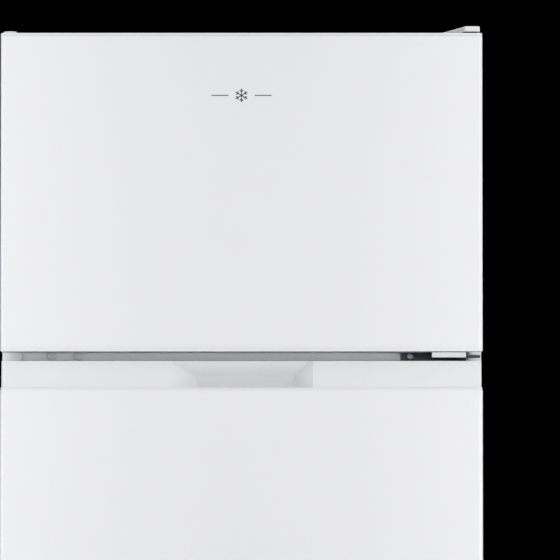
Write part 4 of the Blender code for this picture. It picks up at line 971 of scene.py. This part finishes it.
# ---- compartments ----
class FRIDGE_OT_shelves(bpy.types.Operator):
    """Glass shelves in their white front and rear trims"""

    bl_idname = "fridge.shelves"
    bl_label = "Shelves"

    def execute(self, context):
        for node in ("shelf_upper", "shelf_lower", "crisper_cover", "freezer_shelf"):
            low, high = BOX[node]
            recast(f"{node}_pane", node, toughened_glass(), 0.0003, angle=35)
            drop = 0.001 if node == "crisper_cover" else 0.004
            self.trim(f"{node}_front_trim", low.y, 1, low, high, drop, 0.005)
            self.trim(f"{node}_rear_trim", high.y, -1, low, high, drop, 0.011)
        return {"FINISHED"}

    def trim(self, name, edge, inward, low, high, drop, rise):
        """Moulding that grips one edge of a pane and stands up a little above it."""
        half = high.x - 0.008
        outer, inner = edge - inward * 0.003, edge + inward * 0.014
        lip = edge + inward * 0.002
        left = (-half, min(outer, inner), low.z - drop)
        strip = block(name, left, (half, max(outer, inner), high.z + 0.0014))
        pick("FACE", lambda p, n: n.z > 0.9)
        slice_at("Y", lip)
        pick("FACE", lambda p, n: n.z > 0.9 and (p.y - lip) * inward < 0)
        push(0, 0, rise - 0.0014)
        seat = (-1, edge - inward * 0.0003, low.z)
        groove = block("pane_groove", seat, (1, inner + inward * MM, high.z))
        bpy.ops.mesh.select_all(action="SELECT")
        bpy.ops.mesh.normals_make_consistent(inside=False)
        carve(strip, groove)
        ease(strip, 0.0006, 2, 50)
        finish(strip, white_abs(), "cabinet", ())


class FRIDGE_OT_crisper(bpy.types.Operator):
    """Crisper drawer with the lip that a hand pulls"""

    bl_idname = "fridge.crisper"
    bl_label = "Crisper"

    grip_half = 0.090
    grip_reach = 0.0118

    def execute(self, context):
        low, high = BOX["crisper_drawer"]
        tub = "crisper_drawer"
        recast("crisper_tub", tub, clear_polystyrene(), 0.0006, "crisper")
        front = low.y
        left = (-self.grip_half, front - self.grip_reach, high.z - 0.028)
        grip = block("crisper_grip", left, (self.grip_half, front - 0.0002, high.z - 0.010))
        pick("FACE", lambda p, n: n.z < -0.9)
        inset(0.0022)
        push(0, 0, 0.014)
        pick("EDGE", lambda p, d: abs(d.z) > 0.9 and p.y < front - self.grip_reach + 0.0001)
        bevel(0.009, 6)
        ease(grip, 0.0006, 2, 50)
        finish(grip, white_abs(), "crisper", ())
        return {"FINISHED"}


class FRIDGE_OT_controls(bpy.types.Operator):
    """Housing of the thermostat and the lamp, with its dial, its scale, the lens and the door switch"""

    bl_idname = "fridge.controls"
    bl_label = "Thermostat and lamp"

    vent_left = 0.108
    vent_right = 0.148
    vent_count = 9
    vent_pitch = 0.0035
    number_high = 0.0048
    lens_ribs = 24

    def execute(self, context):
        sizes = context.scene.fridge_sizes
        low = BOX["thermostat_housing"][0]
        box = copied("control_housing", "thermostat_housing")
        ease(box, 0.0008, 2, 50)
        vents = []
        for k in range(self.vent_count):
            z = low.z + 0.010 + k * self.vent_pitch
            right = (self.vent_right, low.y + 0.004, z + 0.0016)
            vents.append(block(f"vent_{k}", (self.vent_left, low.y - MM, z), right))
        for vent in vents:
            ease(vent, 0.0005, 2)
        carve(box, *vents)
        finish(box, white_abs(), "cabinet", ["thermostat_housing"])
        self.dial()
        self.scale(sizes, low)
        self.lens()
        self.plunger()
        return {"FINISHED"}

    def dial(self):
        """Dial with a bevelled skirt, a finger grip across it and a pointer line."""
        low, high = BOX["thermostat_knob"]
        centre = (low + high) / 2
        radius = (high.x - low.x) / 2
        seat, face, top = high.y, (low.y + high.y) / 2, low.y
        dial = bar("dial", centre, radius, seat, face, "Y", 60)
        pick("FACE", lambda p, n: n.y < -0.9)
        bevel(0.001, 3)
        pick("FACE", lambda p, n: n.y < -0.99)
        inset(0.0016, -0.0006)
        reach = radius - 0.002
        half = 0.003
        corner = (centre.x - half, top, centre.z - reach)
        grip = block("dial_grip", corner, (centre.x + half, face + 0.0008, centre.z + reach))
        slice_at("Z", centre.z)
        pick("VERT", lambda p, d: abs(p.z - centre.z) < NEAR)
        resize((0.62, 1, 1), centre)
        ease(grip, 0.0009, 3, 20)
        dial = united(dial, grip)
        finish(dial, white_abs(), "knob", ["thermostat_knob"])
        half = 0.0005
        corner = (centre.x - half, top - 0.0001, centre.z + 0.004)
        line = block("dial_pointer", corner, (centre.x + half, top + 0.0002, centre.z + reach - 0.0015))
        finish(line, printing_ink(), "knob")

    def scale(self, sizes, low):
        """Numbers of the dial's settings, printed round it."""
        knob_low, knob_high = BOX["thermostat_knob"]
        centre = (knob_low + knob_high) / 2
        reach = (knob_high.x - knob_low.x) / 2 + 0.0034
        steps = sizes.dial_numbers
        for k in range(steps):
            angle = math.radians(-135 + 270 * k / max(steps - 1, 1))
            alone()
            bpy.ops.object.text_add(rotation=(math.pi / 2, 0, 0))
            text = bpy.context.active_object
            text.data.body = str(k + 1)
            text.data.size = self.number_high
            text.data.extrude = 0.00006
            text.data.align_x = text.data.align_y = "CENTER"
            bpy.ops.object.convert(target="MESH")
            text = bpy.context.active_object
            x, z = reach * math.sin(angle), reach * math.cos(angle)
            text.location = (centre.x + x, low.y - 0.00002, centre.z + z)
            opened(f"dial_number_{k + 1}")
            bpy.ops.mesh.select_all(action="SELECT")
            bpy.ops.mesh.remove_doubles(threshold=NEAR)
            finish(text, printing_ink(), "cabinet")

    def lens(self):
        """Milky lens of the lamp, ribbed underneath so that it spreads the light."""
        low, high = BOX["lamp_lens"]
        lens = block("lamp_diffuser", low, high)
        pick("EDGE", lambda p, d: abs(d.z) > 0.9)
        bevel(0.004, 5)
        pick("EDGE", lambda p, d: abs(d.z) < 0.1 and p.z < low.z + NEAR)
        bevel(0.002, 3)
        ribs = self.lens_ribs
        pitch = (high.y - low.y - 0.012) / ribs
        places = [low.y + 0.006 + k * pitch for k in range(ribs + 1)]
        slice_at("Y", *places)
        for k in range(1, ribs, 2):
            y = places[k]
            pick("EDGE", lambda p, d: abs(d.x) > 0.9 and abs(p.y - y) < NEAR and p.z < low.z + NEAR)
            shift(0, 0, 0.0012)
        finish(lens, opal_polypropylene(), "cabinet", ["lamp_lens"])

    def plunger(self):
        """Door switch's plunger, with its rounded tip."""
        low, high = BOX["light_switch_plunger"]
        plunger = bar("switch_plunger", (low + high) / 2, (high.x - low.x) / 2, low.y, high.y, "Y", 28)
        pick("FACE", lambda p, n: n.y < -0.9)
        bevel(0.0016, 5)
        finish(plunger, white_abs(), "light_switch", ["light_switch_plunger"])


# ---- cabinet ----
class FRIDGE_OT_cabinet(bpy.types.Operator):
    """Painted shell, galvanised panels, plates, kick strip and lower hinge"""

    bl_idname = "fridge.cabinet"
    bl_label = "Cabinet"

    bead_reach = 0.185
    bead_count = 6
    bead_width = 0.016
    bead_rise = 0.0018
    screw_in = 0.009
    screw_up = 0.040

    def execute(self, context):
        recast("cabinet_wrapper", "outer_shell", painted_steel(), 0.0003)
        recast("floor_pan", "base_pan", galvanised(), 0.0003)
        recast("lower_front_rail", "front_base_rail", painted_steel(), 0.0003)
        recast("roller_plate", "compressor_plate", galvanised(), 0.0003)
        recast("kick_strip", "plinth", grey_abs(), 0.0005)
        recast("lower_hinge", "bottom_hinge", dark_zinc(), 0.0004)
        recast("cable_bush", "cable_gland", black_polypropylene(), 0.0004)
        self.rear_panel()
        self.rear_screws()
        return {"FINISHED"}

    def rear_panel(self):
        """Rear sheet, stiffened by pressed beads behind the condenser."""
        low, high = BOX["back_panel"]
        panel = block("rear_panel", low, high)
        reach, count, width = self.bead_reach, self.bead_count, self.bead_width
        pitch = (high.z - low.z) / (count + 1)
        places = [low.z + pitch * (k + 1) for k in range(count)]
        slice_at("X", -reach, reach)
        slice_at("Z", *(z + side * width / 2 for z in places for side in (-1, 1)))
        for z in places:
            pick("FACE", lambda p, n: n.y > 0.9 and abs(p.z - z) < width / 2 and abs(p.x) < reach)
            inset(0.0035)
            shift(0, self.bead_rise, 0)
        ease(panel, 0.0003, 2, 12)
        finish(panel, galvanised(), "cabinet", ["back_panel"])

    def rear_screws(self):
        """Screws round the edge of the rear sheet."""
        low, high = BOX["back_panel"]
        first = screw(
            "rear_screws", (low.x + self.screw_in, high.y, low.z + self.screw_up), 0.0035, "Y", 1
        )
        across = high.x - low.x - 2 * self.screw_in
        height = (high.z - low.z - 2 * self.screw_up) / 4
        spots = [(side * across, k * height) for side in (0, 1) for k in range(5)]
        spread(first, [(x, 0, z) for x, z in spots[1:]])
        finish(first, bright_zinc(), "cabinet", ())


class FRIDGE_OT_condenser(bpy.types.Operator):
    """Condenser on the rear: a serpentine tube between two layers of welded wires"""

    bl_idname = "fridge.condenser"
    bl_label = "Condenser"

    passes = 12
    wire_count = 26
    wire = 0.0008
    tube = 0.0024
    rail = 0.006
    corner = 0.018

    def execute(self, context):
        low, high = BOX["condenser_wires"]
        bar_high, radius = self.rail, self.tube
        panel = BOX["back_panel"][1].y
        outer = BOX["condenser_coil"][1]
        half = outer.x - radius
        y = outer.y - radius
        top, bottom = outer.z - radius, low.z + bar_high + 0.012
        rim = BOX["condenser_coil"][0].z + radius
        self.coil(half, y, top, bottom, rim, radius)
        front = y - radius - self.wire
        start, end = low.z + 0.001, high.z - 0.001
        first = bar("condenser_wire_mat", (-half, front, 0), self.wire, start, end, "Z", 8)
        spread(first, [(0, 2 * (radius + self.wire), 0)])
        pitch = 2 * half / (self.wire_count - 1)
        modify(
            first, "ARRAY", count=self.wire_count, use_relative_offset=False, use_constant_offset=True,
            constant_offset_displace=(pitch, 0, 0),
        )
        rails = []
        for z in (low.z, high.z - bar_high):
            inner = (low.x, y + radius - 0.0012, z)
            rails.append(block("condenser_rail", inner, (high.x, high.y, z + bar_high)))
            for side in (-1, 1):
                ends = sorted((side * (half + radius + 0.001), side * (high.x - 0.0005)))
                inner = (ends[0], panel + 0.0003, z + 0.001)
                rails.append(block("condenser_stay", inner, (ends[1], high.y - 0.0008, z + 0.005)))
        for rail in rails:
            ease(rail, 0.0005, 2)
        mat = united(first, *rails)
        finish(mat, black_enamel(), "cabinet", ["condenser_wires"])
        return {"FINISHED"}

    def coil(self, half, y, top, bottom, rim, radius):
        """Tube to and fro down the rear, its tail led to the compressor."""
        pitch = (top - bottom) / (self.passes - 1)
        corners = [(-half + 0.03, y, top)]
        for k in range(self.passes):
            side = 1 if k % 2 == 0 else -1
            z = top - k * pitch
            if k:
                corners.append((-side * half, y, z))
            corners.append((side * half, y, z))
        low, high = BOX["compressor"]
        x = (low.x + high.x) / 2
        corners += [(-half, y, rim), (x, y, rim), (x, high.y + 0.001, rim)]
        coil = pipe("condenser_tube", rounded(corners, self.corner), radius, 4, False)
        finish(coil, black_enamel(), "cabinet", ["condenser_coil"], 60)


class FRIDGE_OT_compressor(bpy.types.Operator):
    """Sealed compressor on its foot plate, with its relay cover, tubes and the defrost tray"""

    bl_idname = "fridge.compressor"
    bl_label = "Compressor"

    shell_half = Vector((0.085, 0.058))
    plate_half = Vector((0.091, 0.052, 0))
    grommet_in = 0.010
    grommet = 0.008
    suction = 0.0032
    stub = 0.0028

    def execute(self, context):
        low, high = BOX["compressor"]
        middle = (low + high) / 2
        base = low.z + 0.009
        rim = base + 0.45 * (high.z - base)
        levels = (
            (base, 0.50), (base + 0.0015, 0.64), (base + 0.006, 0.78), (base + 0.013, 0.88),
            (base + 0.022, 0.93), (rim - 0.0034, 0.955), (rim - 0.0030, 0.985), (rim - 0.0022, 1.0),
            (rim + 0.0022, 1.0), (rim + 0.0030, 0.985), (rim + 0.0034, 0.950), (high.z - 0.030, 0.90),
            (high.z - 0.019, 0.83), (high.z - 0.010, 0.72), (high.z - 0.0035, 0.56),
            (high.z - 0.0008, 0.40), (high.z, 0.22),
        )
        alone()
        first, share = levels[0]
        place = (middle.x, middle.y, first)
        bpy.ops.mesh.primitive_circle_add(vertices=64, radius=1, fill_type="NGON", location=place)
        bpy.context.active_object.scale = (*(self.shell_half * share), 1)
        shell = opened("compressor_shell")
        bpy.ops.mesh.select_all(action="SELECT")
        for (z, share), (last_z, last) in zip(levels[1:], levels):
            push(0, 0, z - last_z)
            grow = share / last
            resize((grow, grow, 1), (middle.x, middle.y, z))
        finish(shell, black_enamel(), "cabinet", ["compressor"], 50)
        self.feet(low, middle, base)
        self.tubes(low, middle, rim)
        self.relay()
        recast("defrost_tray", "drip_tray", black_polypropylene(), 0.0006)
        return {"FINISHED"}

    def feet(self, low, middle, base):
        """Pressed foot plate on four moulded grommets."""
        half = self.plate_half
        lowest = Vector((middle.x, middle.y, base - 0.001)) - half
        highest = Vector((middle.x, middle.y, base + 0.002)) + half
        plate = block("compressor_foot_plate", lowest, highest)
        pick("EDGE", lambda p, d: abs(d.z) > 0.9)
        bevel(0.010, 6)
        ease(plate, 0.0006, 2)
        finish(plate, black_enamel(), "cabinet", ())
        spot = half - Vector((self.grommet_in, self.grommet_in, 0))
        centre = (middle.x - spot.x, middle.y - spot.y, 0)
        first = bar("compressor_grommets", centre, self.grommet, low.z, base + 0.0035, "Z", 28)
        slice_at("Z", base - 0.0035, base - 0.0012, base + 0.0022)
        pick("VERT", lambda p, d: abs(p.z - base + 0.0012) < NEAR)
        resize((0.8, 0.8, 1), centre)
        ease(first, 0.0006, 2, 50)
        along, across = 2 * spot.x, 2 * spot.y
        spread(first, [(along, 0, 0), (0, across, 0), (along, across, 0)])
        finish(first, black_polypropylene(), "cabinet", ())

    def tubes(self, low, middle, rim):
        """Copper suction line to the cabinet, and the pinched service stub."""
        ceiling = BOX["back_panel"][0].z - 0.0003
        left = low.x + 0.0065
        x, y, z = left - 0.030, middle.y + 0.030, rim + 0.012
        points = [(left, middle.y, z), (x, middle.y, z), (x, y, z), (x, y, ceiling)]
        line = pipe("suction_line", rounded(points, 0.010), self.suction, 4, False)
        finish(line, copper(), "cabinet", (), 60)
        x, y, z, tip = left - 0.014, middle.y - 0.022, rim + 0.010, rim + 0.046
        points = [(left + 0.004, y, z), (x, y, z), (x, y, tip)]
        stub = pipe("service_stub", rounded(points, 0.008), self.stub, 4, False)
        bpy.ops.object.mode_set(mode="EDIT")
        pick("VERT", lambda p, d: p.z > tip - 0.002)
        resize((0.25, 1.2, 1), (x, y, tip))
        finish(stub, copper(), "cabinet", (), 60)

    def relay(self):
        """Moulded cover over the start relay, with slots in one side."""
        low, high = BOX["relay_cover"]
        cover = block("relay_housing", low, high)
        pick("EDGE", lambda p, d: p.x > low.x + NEAR)
        bevel(0.003, 4)
        slots = []
        for k in range(7):
            y = low.y + 0.010 + k * 0.006
            corner = (high.x - 0.0012, y, low.z + 0.012)
            slots.append(block(f"relay_slot_{k}", corner, (high.x + MM, y + 0.0022, high.z - 0.012)))
        carve(cover, *slots)
        finish(cover, black_polypropylene(), "cabinet", ["relay_cover"])


# ---- feet and rollers ----
class FRIDGE_OT_feet(bpy.types.Operator):
    """Levelling feet in front, rollers behind"""

    bl_idname = "fridge.feet"
    bl_label = "Feet and rollers"

    def execute(self, context):
        for side in ("left", "right"):
            self.foot(side)
            self.roller(side)
        return {"FINISHED"}

    def foot(self, side):
        """Scalloped disc under a threaded stud."""
        low, high = BOX[f"front_foot_{side}"]
        centre = (low + high) / 2
        disc = 0.010
        foot = bar(f"{side}_levelling_foot", centre, (high.x - low.x) / 2, 0, disc, "Z", 48)

        def hollow(p):
            return math.cos(12 * math.atan2(p.y - centre.y, p.x - centre.x)) > 0

        pick("EDGE", lambda p, d: abs(d.z) > 0.9 and hollow(p))
        resize((0.965, 0.965, 1), centre)
        ease(foot, 0.0008, 2, 50)
        stud = bar(f"{side}_stud", centre, 0.005, disc - MM, high.z, "Z", 24)
        turns = [disc + 0.002 + k * 0.0006 for k in range(int((high.z - disc - 0.003) / 0.0006))]
        slice_at("Z", *turns)
        for z in turns[::2]:
            pick("VERT", lambda p, d: abs(p.z - z) < NEAR)
            resize((0.86, 0.86, 1), centre)
        foot = united(foot, stud)
        node = f"front_foot_{side}"
        finish(foot, black_polypropylene(), f"{side}_foot", [node])

    def roller(self, side):
        """Moulded wheel with a dished web on each side and a bored hub."""
        low, high = BOX[f"rear_roller_{side}"]
        centre = (low + high) / 2
        radius = (high.z - low.z) / 2
        wheel = bar(f"{side}_roller_wheel", centre, radius, low.x, high.x, "X", 48)
        pick("EDGE", lambda p, d: abs(d.x) < 0.1)
        bevel(0.0012, 3)
        for facing in (-1, 1):
            pick("FACE", lambda p, n: n.x * facing > 0.99)
            inset(0.0030)
            push(-facing * 0.004, 0, 0)
            inset(0.0040)
            push(facing * 0.003, 0, 0)
        carve(wheel, bar("axle_bore", centre, 0.0034, low.x - MM, high.x + MM, "X", 28))
        node = f"rear_roller_{side}"
        finish(wheel, black_polypropylene(), f"{side}_roller", [node])


class FRIDGE_OT_hidden(bpy.types.Operator):
    """Finishes of the foam and the evaporators inside the walls"""

    bl_idname = "fridge.hidden"
    bl_label = "Inside the walls"

    def execute(self, context):
        made = {
            foam: ("cabinet_foam", "freezer_door_foam", "fridge_door_foam"),
            aluminium: ("freezer_evaporator", "fridge_evaporator"),
        }
        for material, nodes in made.items():
            for node in nodes:
                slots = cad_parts[node].data.materials
                for k in range(len(slots)):
                    slots[k] = material()
        return {"FINISHED"}


# ---- studio ----
class FRIDGE_OT_studio(bpy.types.Operator):
    """Pale floor, soft lights and the camera"""

    bl_idname = "fridge.studio"
    bl_label = "Studio"

    chest = 1.1  # height of the side lights' and the front light's middle
    side_size = (0.5, 1.9)
    slot_size = (1.0, 0.3)
    front_size = (7.0, 1.4)
    top_size = (3.0, 3.0)
    rear_size = (2.4, 2.4)

    def execute(self, context):
        studio = context.scene.fridge_studio
        self.floor()
        self.world(context)
        middle = (FRONT + CABINET_FRONT) / 2
        slot = (BOX["fridge_door_top_cap"][1].z + BOX["freezer_door_bottom_cap"][0].z) / 2
        chest = self.chest
        for side, name, share in ((-1, "left", 0.3), (1, "right", 1.7)):
            place = (side * 0.65, FRONT - 0.35, chest)
            power = studio.side_power * (1.15 - share * 0.15)
            self.light(f"light_{name}", place, (0, middle, chest), self.side_size, power)
            place = (side * 2.2, -3.6, slot - 0.16)
            power = studio.slot_power * share
            self.light(f"light_slot_{name}", place, (0, 0, slot), self.slot_size, power)
        place, waist = (0, -4.4, chest), (0, 0, 0.8)
        self.light("light_front", place, (0, 0, chest), self.front_size, studio.front_power)
        self.light("light_top", (0, -0.4, 3.6), waist, self.top_size, studio.top_power)
        self.light("light_rear", (0.9, 3.6, 2.0), waist, self.rear_size, studio.top_power)
        eye = Vector((studio.aside, FRONT - studio.distance, studio.eye))
        aim = Vector((studio.aside, FRONT, studio.aim))
        bpy.ops.object.camera_add(location=eye)
        camera = context.active_object
        camera.rotation_euler = (aim - eye).to_track_quat("-Z", "Y").to_euler()
        camera.data.lens = studio.lens
        camera.data.clip_end = 100
        context.scene.camera = camera
        context.scene.view_settings.view_transform = "Standard"
        return {"FINISHED"}

    def floor(self):
        """Seamless pale floor."""
        alone()
        bpy.ops.mesh.primitive_plane_add(size=14)
        floor = bpy.context.active_object
        floor.name = "studio_floor"
        board = surface("floor_painted_board", srgb("#dededc"), 0.02, 400, (0.55, 0.65))
        floor.data.materials.append(board)

    def world(self, context):
        """Dark surroundings to the eye, and an even dim fill to the surfaces."""
        world = bpy.data.worlds.new("studio_world")
        world.use_nodes = True
        context.scene.world = world
        tree = world.node_tree
        seen = add(tree, "ShaderNodeLightPath").outputs["Is Camera Ray"]
        tones = {"Factor": seen, 6: srgb("#b4b6ba"), 7: (0, 0, 0, 1)}
        tone = add(tree, "ShaderNodeMix", tones, data_type="RGBA")
        tree.links.new(tone.outputs[2], tree.nodes["Background"].inputs["Color"])
        tree.nodes["Background"].inputs["Strength"].default_value = 0.15

    def light(self, name, place, target, size, power):
        """A soft rectangular light turned to a target."""
        alone()
        bpy.ops.object.light_add(type="AREA", location=place)
        lamp = bpy.context.active_object
        lamp.name = lamp.data.name = name
        lamp.rotation_euler = (Vector(target) - Vector(place)).to_track_quat("-Z", "Y").to_euler()
        lamp.data.shape = "RECTANGLE"
        lamp.data.size, lamp.data.size_y = size
        lamp.data.energy = power
        lamp.visible_camera = False


class FRIDGE_PT_pieces(bpy.types.Panel):
    """Lists the refrigerator's pieces"""

    bl_label = "Refrigerator"
    bl_idname = "FRIDGE_PT_pieces"
    bl_space_type = "VIEW_3D"
    bl_region_type = "UI"
    bl_category = "Fridge"

    def draw(self, context):
        for group in ("fridge_colours", "fridge_sizes", "fridge_studio"):
            box = self.layout.box()
            settings = getattr(context.scene, group)
            for name in settings.__annotations__:
                box.prop(settings, name)
        for step in STEPS:
            self.layout.operator(step.bl_idname)


STEPS = (
    FRIDGE_OT_doors,
    FRIDGE_OT_handle_strip,
    FRIDGE_OT_mark,
    FRIDGE_OT_centre_rail,
    FRIDGE_OT_middle_hinge,
    FRIDGE_OT_top_hinge,
    FRIDGE_OT_seals,
    FRIDGE_OT_liners,
    FRIDGE_OT_door_bins,
    FRIDGE_OT_shelves,
    FRIDGE_OT_crisper,
    FRIDGE_OT_controls,
    FRIDGE_OT_cabinet,
    FRIDGE_OT_condenser,
    FRIDGE_OT_compressor,
    FRIDGE_OT_feet,
    FRIDGE_OT_hidden,
    FRIDGE_OT_studio,
)
GROUPS = {
    "fridge_colours": FridgeColours,
    "fridge_sizes": FridgeSizes,
    "fridge_studio": FridgeStudio,
}


def register():
    for name, group in GROUPS.items():
        bpy.utils.register_class(group)
        setattr(bpy.types.Scene, name, PointerProperty(type=group))
    for step in (*STEPS, FRIDGE_PT_pieces):
        bpy.utils.register_class(step)


def unregister():
    for step in reversed((*STEPS, FRIDGE_PT_pieces)):
        bpy.utils.unregister_class(step)
    for name, group in GROUPS.items():
        delattr(bpy.types.Scene, name)
        bpy.utils.unregister_class(group)


def main():
    register()
    for step in STEPS:
        group, name = step.bl_idname.split(".")
        getattr(getattr(bpy.ops, group), name)()
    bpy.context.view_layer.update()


if __name__ == "__main__":
    main()
